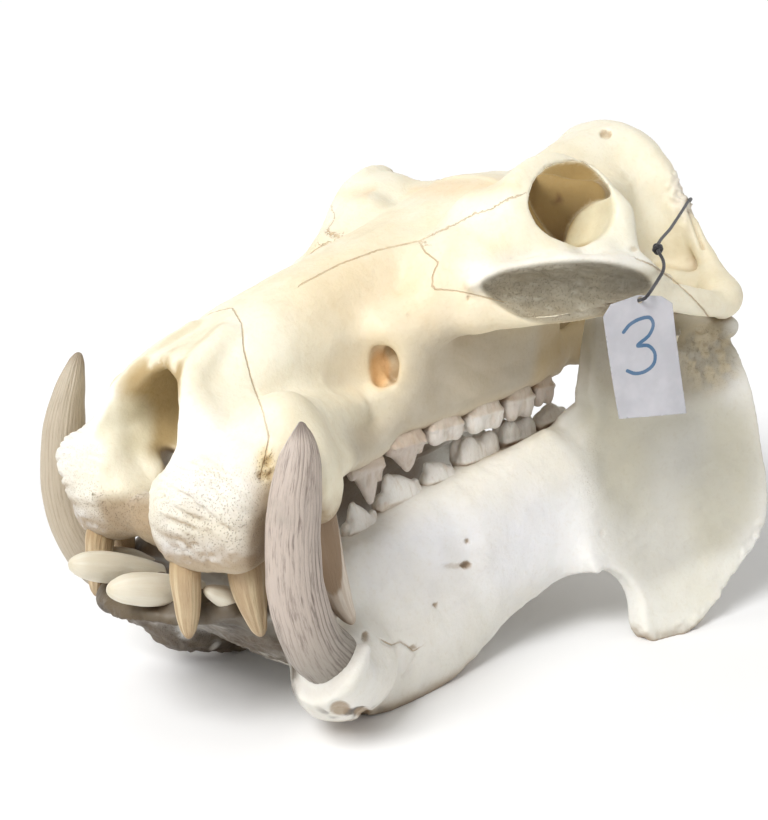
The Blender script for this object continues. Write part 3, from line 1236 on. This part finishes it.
SHEATH_LINE = [(297, 684), (312, 696), (330, 690), (348, 670), (366, 640)]


class Sight:
    """Places as the photograph's camera sees them, folded onto the left side, with masks and reliefs."""

    def __init__(self, points, normals):
        fold = np.where(points[:, :1] < 0, (-1, 1, 1), (1, 1, 1))
        self.points = points * fold
        self.normals = normals * fold
        place, _, _, ahead = camera_axes()
        self.u, self.v = photo_places(self.points).T
        self.true_x = points[:, 0]
        self.seen = photo_places(points).T
        self.depth = (self.points - place) @ ahead
        self.facing = ease(-self.normals @ ahead, -0.15, 0.12)

    def zone(self, corners, soft):
        """1 inside an outline on the side that shows, falling to 0 outside it."""
        return self.facing * ease(outline_distance(rounded(corners), self.u, self.v), soft, -soft)

    def patch(self, corners, soft):
        """1 inside an outline wherever the photograph shows a place, on either side."""
        return ease(outline_distance(rounded(corners), *self.seen), soft, -soft)

    def spot(self, centre, radii, soft=0.35):
        """1 inside an ellipse, falling to 0 outside it."""
        gap = np.hypot((self.u - centre[0]) / radii[0], (self.v - centre[1]) / radii[1])
        return self.facing * ease(gap, 1 + soft, 1 - soft)

    def along(self, stroke):
        """Distance to a line in pixels, with its sign for the side, and how near it is, from 0 to 1."""
        stroke = np.array(stroke, float)
        best = np.full(len(self.u), 1e9)
        signed = np.full(len(self.u), 99.0)
        for start, end in zip(stroke[:-1], stroke[1:]):
            run = end - start
            du, dv = self.u - start[0], self.v - start[1]
            t = np.clip((du * run[0] + dv * run[1]) / (run @ run), 0, 1)
            gap = np.hypot(du - t * run[0], dv - t * run[1])
            side = np.sign(du * run[1] - dv * run[0])
            nearer = gap < best
            best = np.where(nearer, gap, best)
            signed = np.where(nearer, gap * side, signed)
        return signed, self.facing * ease(best, 9, 6)

    def lines(self, strokes):
        """For each place the nearest of several lines: its signed distance and nearness."""
        signed = np.full(len(self.u), 99.0)
        close = np.zeros(len(self.u))
        for stroke in strokes:
            found, near = self.along(stroke)
            nearer = np.abs(found) < np.abs(signed)
            signed = np.where(nearer, found, signed)
            close = np.where(nearer, near, close)
        return signed, close

    def groove(self, stroke, half, depth):
        signed, close = self.along(stroke)
        return -depth * close * ease(np.abs(signed), half * 1.6, half * 0.3)

    def pits(self, table):
        return -sum(depth * self.spot(centre, radii) for centre, radii, depth in table)


def blended(paint, colour, share):
    """Paint with a colour laid over it."""
    share = np.clip(share, 0, 1)[:, None]
    return paint * (1 - share) + np.array(colour) * share


def socket_hole():
    """The deep dark part of the eye's socket, cut along the camera's line of sight."""
    place, right, up, ahead = camera_axes()
    outline = rounded(SOCKET_DARK)
    ends = []
    for depth in SOCKET_DEPTHS:
        for u, v in outline:
            ends.append(place + depth * (
                ahead + right * (u - PHOTO_WIDTH / 2) / CAMERA_FOCAL
                - up * (v - PHOTO_HEIGHT / 2 - CAMERA_SHIFT) / CAMERA_FOCAL))
    ends = np.array(ends)

    def distance(x, y, z):
        x, y, z = np.broadcast_arrays(x, y, z)
        points = np.column_stack([x.ravel(), y.ravel(), z.ravel()]).astype(float)
        u, v = photo_places(points).T
        deep = (points - place) @ ahead
        flat = outline_distance(outline, u, v) * deep / CAMERA_FOCAL
        inside = np.maximum(SOCKET_DEPTHS[0] - deep, deep - SOCKET_DEPTHS[1])
        return np.maximum(flat, inside).reshape(x.shape)

    return Form(ends.min(axis=0), ends.max(axis=0), distance)


def fine_cranium(clay):
    """The cranium with the deep part of its eye sockets, and the swellings over its front teeth."""
    cranium(clay)
    clay.cut(ball((43, -16, 254), (29, 46, 28)), 12)
    clay.add(limb([
        (64, 46, 262, 14, 13), (46, 47, 284, 10, 10), (33, 68, 305, 10, 9), (26, 98, 321, 9, 8)]), 10)
    clay.add(limb([(70, 16, 216, 14), (90, 20, 226, 14), (104, 38, 228, 12)]), 12)
    clay.add(limb([(0, 38, 178, 42, 21), (0, 90, 186, 42, 21)]), 10)
    clay.add(ball((57, 224, 250), (14, 18, 16)), 12)
    clay.add(limb([(64, 438, 262, 12, 14), (62, 472, 264, 11, 15), (56, 500, 272, 10, 13)]), 10)
    clay.add(ball((64, 484, 254), (11, 16, 14)), 8)
    clay.cut(ball((74, 200, 282), (20, 28, 18)), 16)
    clay.cut(ball((62, 226, 279), (9, 11, 19)), 3)
    clay.add(ball((58, 254, 280), (14, 16, 20)), 4)
    clay.cut(ball((158, 122, 200), (20, 30, 36)), 8)
    clay.cut(socket_hole(), 3)


def fine_mandible(clay):
    """The lower jaw with the raised rim of its tusk sockets."""
    mandible(clay)
    clay.add(limb([
        (108, 92, 66, 4), (114, 79, 57, 4.4), (127, 72, 51, 4.4), (143, 74, 51, 4.4), (157, 82, 60, 4.4),
        (163, 96, 76, 4.4), (157, 110, 86, 4)]), 8)
    clay.add(limb([(90, 70, 120, 13), (102, 84, 121, 18), (112, 102, 112, 17)]), 10)
    clay.add(limb([(94, 424, 196, 7, 8), (102, 436, 206, 7, 8)]), 5)
    clay.add(limb([
        (96, 300, 105, 16, 44), (106, 370, 118, 14, 54), (117, 414, 142, 12, 58)], up=(-0.2, 0, 1)), 24)
    for rows in (UPPER_CANINE, *UPPER_INCISORS):
        clay.cut(limb(grown(rows, 2)), 3)


def cranium_relief(places, normals):
    """How far the cranium's surface rises, in millimetres: its scar, pits, ridges and rough patches."""
    sight = Sight(places, normals)
    scar = sight.zone(SCAR, 4) * (sight.points[:, 0] > 120)
    fibres = np.column_stack([
        (sight.u + 0.5 * sight.v) / 14, (sight.v - 0.2 * sight.u) / 2.6, np.zeros(len(places))])
    rise = -4.0 * scar + scar * 0.9 * lumps(fibres, 1, 61)
    strokes = np.column_stack([
        (sight.u + 0.55 * sight.v) / 20, (sight.v - 0.5 * sight.u) / 3.8, sight.u / 90])
    lobe = sight.spot((194, 502), (50, 38), 0.5)
    ridges = lumps(strokes, 1, 62)
    rise += lobe * (1.5 * ridges - 0.9 * ease(ridges, 0.1, -0.5))
    far = np.linalg.norm((places - (-94, 10, 218)) / (34, 34, 40), axis=1)
    rise += 7.0 * ease(far, 1, 0)
    rim = sight.spot((185, 558), (60, 14), 0.6)
    rise += 1.1 * rim * lumps(places, 5, 63)
    crest = sight.spot((685, 190), (16, 30), 0.4)
    rise += crest * (2.6 * lumps(places, 5, 64) + 1.2 * lumps(places, 3, 67) - 0.6)
    broken = sight.spot((266, 468), (9, 15), 0.4)
    rise += broken * (1.6 * lumps(places, 4, 65) - 0.5)
    rise += sight.pits(SKULL_PITS) + sight.groove(SLIT, 2.4, 4.5)
    rise += sight.groove(ARCH_LINE, 1.3, 1.0) + sight.groove(BROW_LINE, 0.9, 0.35)
    rise += sight.groove(PREMAXILLA_LINE, 1.0, 0.6)
    back = ease(places[:, 1], 600, 640)
    rise += back * 0.8 * lumps(places, 9, 66)
    return rise


def mandible_relief(places, normals):
    """How far the lower jaw's surface rises, in millimetres."""
    sight = Sight(places, normals)
    rise = sight.pits(JAW_PITS)
    rise += sight.groove(JAW_CRACK, 1.6, 2.0) + sight.groove(JAW_SCRATCH, 1.4, 1.3)
    rise += sight.groove(SHEATH_CRACK, 1.0, 0.8)
    worn = sight.spot((708, 356), (26, 30), 0.4)
    rise += worn * (1.9 * lumps(places, 5, 71) - 1.6 * ease(lumps(places, 4, 72), 0.2, 0.6))
    ridges = np.column_stack([
        (sight.u - 0.5 * sight.v) / 26, (sight.v + 0.6 * sight.u) / 7, np.zeros(len(places))])
    rise += 0.55 * sight.zone(RAMUS_RIDGED, 22) * lumps(ridges, 1, 73)
    gap, near = sight.along(ANGLE_LINE)
    rise += 2.0 * near * ease(np.abs(gap), 14, 2) * lumps(places, 6, 74)
    left = np.linalg.norm((places - (-58, 4, 106)) / (42, 40, 30), axis=1)
    rise += 15.0 * ease(left, 1, 0)
    under = ease(sight.normals[:, 2], -0.1, -0.7) * ease(sight.points[:, 1], 80, 30)
    rise -= 6.0 * under * ease(places[:, 0], -60, -10)
    grit = 1.5 * lumps(places, 7, 75) + 0.8 * lumps(places, 3.5, 76)
    rise += sight.patch(CHIN, 8) * ease(sight.points[:, 1], 260, 180) * grit
    return rise


def cranium_finish(points, normals):
    """The cranium's colour, pitted places and suture lines by place."""
    sight = Sight(points, normals)
    x, y, z = sight.points.T
    paint = np.tile((0.86, 0.81, 0.655), (len(points), 1))
    paint = blended(paint, (0.8, 0.67, 0.47), 0.8 * sight.spot((400, 296), (96, 52), 0.9))
    paint = blended(paint, (0.84, 0.7, 0.48), 0.5 * sight.spot((370, 372), (60, 26), 0.8))
    far = ease(points[:, 0], -30, -60) * ease(y, 130, 90)
    paint = blended(paint, (0.72, 0.67, 0.5), 0.75 * far)
    paint = blended(paint, (0.83, 0.63, 0.4), 0.55 * sight.zone(FOREHEAD_WARM, 8))
    paint = blended(paint, (0.88, 0.87, 0.84), 0.85 * sight.zone(LOBE_PALE, 22))
    paint = blended(paint, (0.64, 0.61, 0.53), 0.6 * sight.spot((200, 532), (60, 34), 0.7))
    paint = blended(paint, (0.55, 0.53, 0.52), 0.7 * sight.spot((190, 554), (56, 16), 0.6))
    paint = blended(paint, (0.88, 0.865, 0.82), 0.8 * sight.zone(ARCH_PALE, 12))
    paint = blended(paint, (0.84, 0.81, 0.67), 0.5 * sight.zone(TEMPLE_WARM, 24))
    under = sight.zone(UNDER_ARCH, 26)
    paint = blended(paint, (0.4, 0.35, 0.28), 0.8 * under * ease(x, 112, 96))
    grain = np.column_stack([(sight.u + 0.6 * sight.v) / 40, (sight.v - 0.5 * sight.u) / 8, 0 * x])
    streaks = 0.5 * under * ease(lumps(grain, 1, 83), 0.0, 0.6)
    paint = blended(paint, (0.56, 0.5, 0.41), streaks * ease(x, 112, 96))
    paint = blended(paint, (0.6, 0.48, 0.29), 0.85 * sight.zone(KNOB, 8))
    scar = sight.zone(SCAR, 3) * (x > 120)
    streak = np.column_stack([(sight.u + 0.5 * sight.v) / 16, (sight.v - 0.2 * sight.u) / 3, 0 * x])
    fibre = 0.5 + 0.5 * lumps(streak, 1, 61)
    paint = blended(paint, (0.2, 0.172, 0.118), scar * (0.8 + 0.2 * fibre))
    paint = blended(paint, (0.44, 0.41, 0.33), scar * 0.7 * ease(fibre, 0.62, 0.95))
    paint = blended(paint, (0.5, 0.45, 0.35), 0.6 * scar * sight.zone(SCAR_FOOT, 6))
    cup = ease(np.linalg.norm((sight.points - (126, 391, 395)) / (52, 49, 41), axis=1), 1.06, 0.98)
    paint = blended(paint, (0.46, 0.33, 0.14), cup * ease(sight.depth, 1062, 1072) * sight.facing)
    paint = blended(paint, (0.8, 0.74, 0.54), 0.95 * sight.zone(LAMINA, 3) * (sight.depth < 1130))
    hole = sight.zone(SOCKET_DARK, 2) * ease(sight.depth, 1078, 1084)
    paint = blended(paint, (0.36, 0.245, 0.09), hole)
    paint = blended(paint, (0.2, 0.11, 0.04), hole * sight.spot((558, 200), (4, 4)))
    cavity = (ease(sight.normals[:, 0], 0.1, -0.25) * ease(x, 52, 46) * ease(y, 26, 46) * ease(y, 330, 290)
              * ease(z, 214, 232))
    paint = blended(paint, (0.6, 0.52, 0.33), 0.6 * cavity)
    shown = sight.patch(NOSE_SHOWN, 9)
    paint = blended(paint, (0.42, 0.3, 0.135), 0.95 * cavity * shown)
    foramen = sight.spot((380, 369), (10, 19), 0.3)
    paint = blended(paint, (0.95, 0.62, 0.3), 0.85 * foramen)
    paint = blended(paint, (0.76, 0.73, 0.74), 0.5 * sight.spot((686, 190), (14, 26), 0.4))
    paint = blended(paint, (0.5, 0.36, 0.2), 0.6 * ease(sight.pits(SKULL_PITS), -0.5, -2.2))
    paint = blended(paint, (0.8, 0.68, 0.42), 0.8 * sight.spot((266, 464), (9, 18), 0.4))
    socket = ease(z, 214, 200) * ease(y, 170, 120) * ease(normals[:, 2], 0.1, -0.5)
    inner = ease(z, 206, 192) * ease(x, 50, 36)
    paint = blended(paint, (0.3, 0.2, 0.1), 0.85 * np.maximum(socket, inner))
    for rows in (UPPER_CANINE, *UPPER_INCISORS):
        root = np.array(rows[0][:2]) * 0.7 + np.array(rows[1][:2]) * 0.3
        gap = np.hypot(x - root[0], y - root[1]) - rows[0][3]
        paint = blended(paint, (0.17, 0.115, 0.07), 0.85 * ease(gap, 7, 1) * ease(z, 196, 180))
    palate = ease(normals[:, 2], -0.2, -0.7) * ease(z, 262, 240)
    paint = blended(paint, (0.62, 0.53, 0.4), 0.5 * palate)
    rough = 0.12 + 0.5 * sight.spot((196, 505), (60, 46), 0.5) + 0.5 * scar + 0.6 * ease(y, 604, 640)
    rough += 0.5 * sight.spot((266, 466), (12, 20), 0.4) + 0.25 * ease(z, 215, 200)
    signed, close = sight.lines([PREMAXILLA_LINE, BROW_LINE, FACE_LINE, ARCH_LINE])
    return paint, np.clip(rough, 0, 1), np.column_stack([signed, close, sight.zone(JAGGED, 8)])


def mandible_finish(points, normals):
    """The lower jaw's colour, pitted places and cracks by place."""
    sight = Sight(points, normals)
    x, y, z = sight.points.T
    paint = np.tile((0.78, 0.765, 0.72), (len(points), 1))
    paint = blended(paint, (0.88, 0.86, 0.83), 0.85 * sight.zone(JAW_PALE, 26))
    paint = blended(paint, (0.79, 0.785, 0.81), 0.8 * sight.spot((470, 530), (100, 60), 0.7))
    paint = blended(paint, (0.80, 0.76, 0.66), 0.7 * ease(z, 128, 165) * ease(y, 430, 380))
    paint = blended(paint, (0.56, 0.54, 0.475), 0.85 * sight.zone(RAMUS_GREY, 22))
    paint = blended(paint, (0.46, 0.43, 0.335), 0.7 * sight.zone(RAMUS_BROWN, 20))
    paint = blended(paint, (0.54, 0.51, 0.4), 0.6 * sight.zone(RAMUS_BACK, 18))
    paint = blended(paint, (0.33, 0.285, 0.2), 0.85 * sight.zone(RAMUS_TOP, 14))
    paint = blended(paint, (0.83, 0.81, 0.72), 0.7 * sight.zone(ANGLE_PALE, 14))
    paint = blended(paint, (0.6, 0.5, 0.32), 0.5 * sight.spot((712, 356), (30, 32), 0.5)
                    * ease(lumps(points, 8, 91), -0.3, 0.4))
    front = ease(y, 110, 40) * ease(sight.true_x, 118, 92)
    paint = blended(paint, (0.085, 0.06, 0.032), 0.95 * front * ease(lumps(points, 24, 92), -1.1, -0.3))
    deepest = 0.9 * front * ease(z, 114, 100)
    paint = blended(paint, (0.04, 0.027, 0.015), deepest * ease(lumps(points, 12, 96), -0.7, 0))
    lower = sight.patch(CHIN, 8) * ease(sight.true_x, 140, 122) * ease(y, 260, 180)
    paint = blended(paint, (0.09, 0.06, 0.032), 0.92 * lower * ease(lumps(points, 14, 93), -0.75, 0.0))
    paint = blended(paint, (0.13, 0.095, 0.055), 0.7 * lower * ease(lumps(points, 6, 95), 0.2, 0.6))
    spots = sight.spot((352, 711), (30, 9), 0.5) * ease(lumps(points, 9, 94), -0.1, 0.5)
    paint = blended(paint, (0.07, 0.045, 0.03), 0.9 * spots)
    trough = ease(z, 105, 120) * ease(y, 300, 60) * ease(x, 70, 40)
    paint = blended(paint, (0.12, 0.088, 0.05), 0.8 * trough)
    paint = blended(paint, (0.35, 0.25, 0.15), 0.8 * ease(sight.pits(JAW_PITS), -0.5, -2.4))
    gap, near = sight.along(SHEATH_LINE)
    paint = blended(paint, (0.66, 0.63, 0.59), 0.6 * near * ease(np.abs(gap), 8, 2))
    paint = blended(paint, (0.45, 0.4, 0.32), 0.6 * ease(z, 12, 0))
    inside = ease(sight.normals[:, 0], -0.15, -0.6) * ease(z, 80, 130) * ease(y, 430, 370)
    paint = blended(paint, (0.24, 0.17, 0.11), 0.9 * inside)
    rough = 0.1 + 0.7 * sight.spot((710, 356), (32, 34), 0.5) + 0.3 * sight.spot((592, 470), (14, 40), 0.5)
    rough += 0.4 * lower + 0.5 * ease(normals[:, 0] * np.sign(points[:, 0]), -0.2, -0.7)
    signed, close = sight.lines([JAW_CRACK])
    return paint, np.clip(rough, 0, 1), np.column_stack([signed, close, 0 * close])


def thinned(mesh):
    """The mesh with fewer triangles where it is flat, under the most that a piece may have."""
    piece = bpy.data.objects.new(mesh.name, mesh)
    bpy.context.collection.objects.link(piece)
    fewer = piece.modifiers.new("fewer", "DECIMATE")
    fewer.ratio = MOST_TRIANGLES / sum(len(face.vertices) - 2 for face in mesh.polygons)
    fewer.use_collapse_triangulate = True
    reading = piece.evaluated_get(bpy.context.evaluated_depsgraph_get())
    thin = bpy.data.meshes.new_from_object(reading)
    name = mesh.name
    bpy.data.objects.remove(piece)
    bpy.data.meshes.remove(mesh)
    thin.name = name
    return thin


def bone_piece(name, build, relief, finish, look, slot, node):
    """A bone's finished piece: its clay, carved, roughened and coloured."""
    clay = shaped(build, LOW, HIGH, BONE_GRAIN)
    points, faces = surface(clay)
    mesh = mesh_from(name, in_frame(points), faces)
    places, normals = vertex_data(mesh)
    bend = (
        0.9 * lumps(places, 30, 1) + 0.5 * lumps(places, 13, 2) + 0.22 * lumps(places, 5.5, 3)
        + relief(places, normals))
    places = places + normals * bend[:, None]
    mesh.vertices.foreach_set("co", in_frame(places).astype(np.float32).ravel())
    if name.startswith("mandible"):
        work = bmesh.new()
        work.from_mesh(mesh)
        cut = bmesh.ops.bisect_plane(
            work, geom=work.verts[:] + work.edges[:] + work.faces[:], plane_co=(0, 0, 0), plane_no=(0, 0, 1),
            clear_inner=True)
        edges = [item for item in cut["geom_cut"] if isinstance(item, bmesh.types.BMEdge)]
        bmesh.ops.holes_fill(work, edges=edges)
        work.to_mesh(mesh)
        work.free()
    mesh = thinned(mesh)
    places, normals = vertex_data(mesh)
    paint, rough, line = finish(places, normals)
    give(mesh, "paint", paint)
    give(mesh, "rough", rough)
    give(mesh, "line", line)
    piece = finished(name, mesh, look, slot, node)
    piece.data.shade_smooth()
    return piece


def lights():
    """Soft studio light: a pale surround, a large key from the left front and a fill from the right."""
    world = bpy.data.worlds.new("surround")
    world.use_nodes = True
    world.node_tree.nodes["Background"].inputs["Color"].default_value = (1, 1, 1, 1)
    tree = world.node_tree
    place = tree.nodes.new("ShaderNodeTexCoord").outputs["Generated"]
    facing = tree.nodes.new("ShaderNodeVectorMath")
    facing.operation = "DOT_PRODUCT"
    facing.inputs[1].default_value = camera_axes()[3]
    tree.links.new(place, facing.inputs[0])
    spread = tree.nodes.new("ShaderNodeMapRange")
    spread.interpolation_type = "SMOOTHSTEP"
    for label, value in (("From Min", 0.4), ("From Max", 0.85), ("To Min", WORLD_LIGHT), ("To Max", 1.02)):
        spread.inputs[label].default_value = value
    tree.links.new(facing.outputs["Value"], spread.inputs["Value"])
    tree.links.new(spread.outputs[0], tree.nodes["Background"].inputs["Strength"])
    bpy.context.scene.world = world
    for name, place, size, power in LIGHTS:
        light = bpy.data.lights.new(name, "AREA")
        light.size = size
        light.energy = power
        lamp = bpy.data.objects.new(name, light)
        bpy.context.collection.objects.link(lamp)
        lamp.location = place
        away = np.array(place) - (0, 0, 0.2)
        away = away / np.linalg.norm(away)
        side = np.cross((0, 0, 1), away)
        side = side / np.linalg.norm(side)
        turn = Matrix((side, np.cross(away, side), away)).transposed().to_4x4()
        turn.translation = place
        lamp.matrix_world = turn


def floor():
    """A wide pale floor under the jaw."""
    work = bmesh.new()
    bmesh.ops.create_grid(work, x_segments=8, y_segments=8, size=6)
    mesh = bpy.data.meshes.new("floor")
    work.to_mesh(mesh)
    work.free()
    mesh.materials.append(floor_look())
    piece = bpy.data.objects.new("floor", mesh)
    bpy.context.collection.objects.link(piece)


def build():
    """Every piece of the scene."""
    view = bpy.context.scene.view_settings
    view.view_transform = "Standard"
    make_camera()
    route = in_frame(curved([(*place, 0, 0) for place in STRING_ROUTE], STRING_POINTS)[:, :3])
    thread = thread_look()
    string = bpy.data.objects.new("string_looks", string_curve(route))
    bpy.context.collection.objects.link(string)
    string.data.materials.append(thread)
    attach(string, "root")
    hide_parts("tag_string")
    bare = route / MM + (0, MIDDLE_Y, 0)
    knot = np.argmin(np.linalg.norm(bare - STRING_ROUTE[KNOT_AT], axis=1))
    knot_piece = finished(
        "knot_looks", knot_mesh(bare[knot], bare[knot + 1]), thread, "string", "tag_knot")
    finished("tag_looks", tag_mesh(), paper_look(), "paper", "tag")

    skull = bone_look("skull_look", (0.95, 0.9, 0.8), (0.93, 0.9, 0.86))
    jaw = bone_look("jaw_look", (0.94, 0.92, 0.86), (0.9, 0.9, 0.92))
    bone_piece(
        "cranium_looks", fine_cranium, cranium_relief, cranium_finish, skull, "skull_bone", "cranium")
    bone_piece(
        "mandible_looks", fine_mandible, mandible_relief, mandible_finish, jaw, "jaw_bone", "mandible")

    tusks = {
        "left": streaked_look(
            "tusk_left_look", (0.5, 0.42, 0.36), (0.12, 0.085, 0.07), (0.25, 0.23, 0.19), 0.5, 0.9,
            (0.8, 0.76, 0.67)),
        "right": streaked_look(
            "tusk_right_look", (0.47, 0.4, 0.3), (0.28, 0.215, 0.15), (0.38, 0.335, 0.26), 0.5, 0.5)}
    upper_ivory = streaked_look(
        "upper_ivory_look", (0.6, 0.48, 0.3), (0.33, 0.2, 0.1), (0.42, 0.3, 0.15), 0.42, 0.6)
    sheathed = streaked_look(
        "upper_canine_look", (0.68, 0.6, 0.5), (0.42, 0.3, 0.2), (0.7, 0.64, 0.56), 0.42, 0.5)
    ivory = streaked_look("ivory_look", (0.82, 0.77, 0.64), (0.7, 0.61, 0.44), (0.74, 0.66, 0.5), 0.34, 0.35)
    seed = 10
    for word, side, tusk_rows, incisors in (
            ("left", 1, LEFT_TUSK, LEFT_LOWER_INCISORS), ("right", -1, RIGHT_TUSK, RIGHT_LOWER_INCISORS)):
        name = "lower_canine_%s" % word
        chips = [((148.4, 58.7, 257), (-0.73, -0.64, 0.65), 0.15)] if side > 0 else []
        mesh = long_tooth_mesh(
            name + "_looks", tusk_rows, seed, rings_count=150, sides=200, lengthwise=0.25,
            grooves=TUSK_GROOVES, wear=chips)
        finished(name + "_looks", mesh, tusks[word], "tusk", name)
        rows = [(side * row[0], *row[1:]) for row in UPPER_CANINE]
        name = "upper_canine_%s" % word
        mesh = long_tooth_mesh(
            name + "_looks", rows, seed + 7, wear=[((side * 141, 108, 140), (side * 0.8, -0.55, 0.1), 0.1)])
        finished(name + "_looks", mesh, sheathed, "upper_ivory", name)
        for index in range(2):
            name = "upper_incisor_%d_%s" % (index + 1, word)
            rows = [(side * row[0], *row[1:]) for row in UPPER_INCISORS[index]]
            mesh = long_tooth_mesh(name + "_looks", rows, seed + 14 + index, lengthwise=0.5)
            finished(name + "_looks", mesh, upper_ivory, "upper_ivory", name)
            name = "lower_incisor_%d_%s" % (index + 1, word)
            mesh = long_tooth_mesh(name + "_looks", incisors[index], seed + 21 + index, lengthwise=0.1)
            finished(name + "_looks", mesh, ivory, "ivory", name)
        seed += 40
    enamel = enamel_look("enamel_look")
    for word, side in (("left", 1), ("right", -1)):
        for jaw_word, table in (("upper", UPPER_CHEEK), ("lower", LOWER_CHEEK)):
            for kind, sizes in table.items():
                name = "%s_%s_%s" % (jaw_word, kind, word)
                seed += 3
                stain = STAINED.get("%s_%s" % (jaw_word, kind), USUAL_STAIN)
                mesh = cheek_tooth_mesh(name + "_looks", side, sizes, seed, stain)
                finished(name + "_looks", mesh, enamel, "enamel", name)
    floor()
    lights()


build()
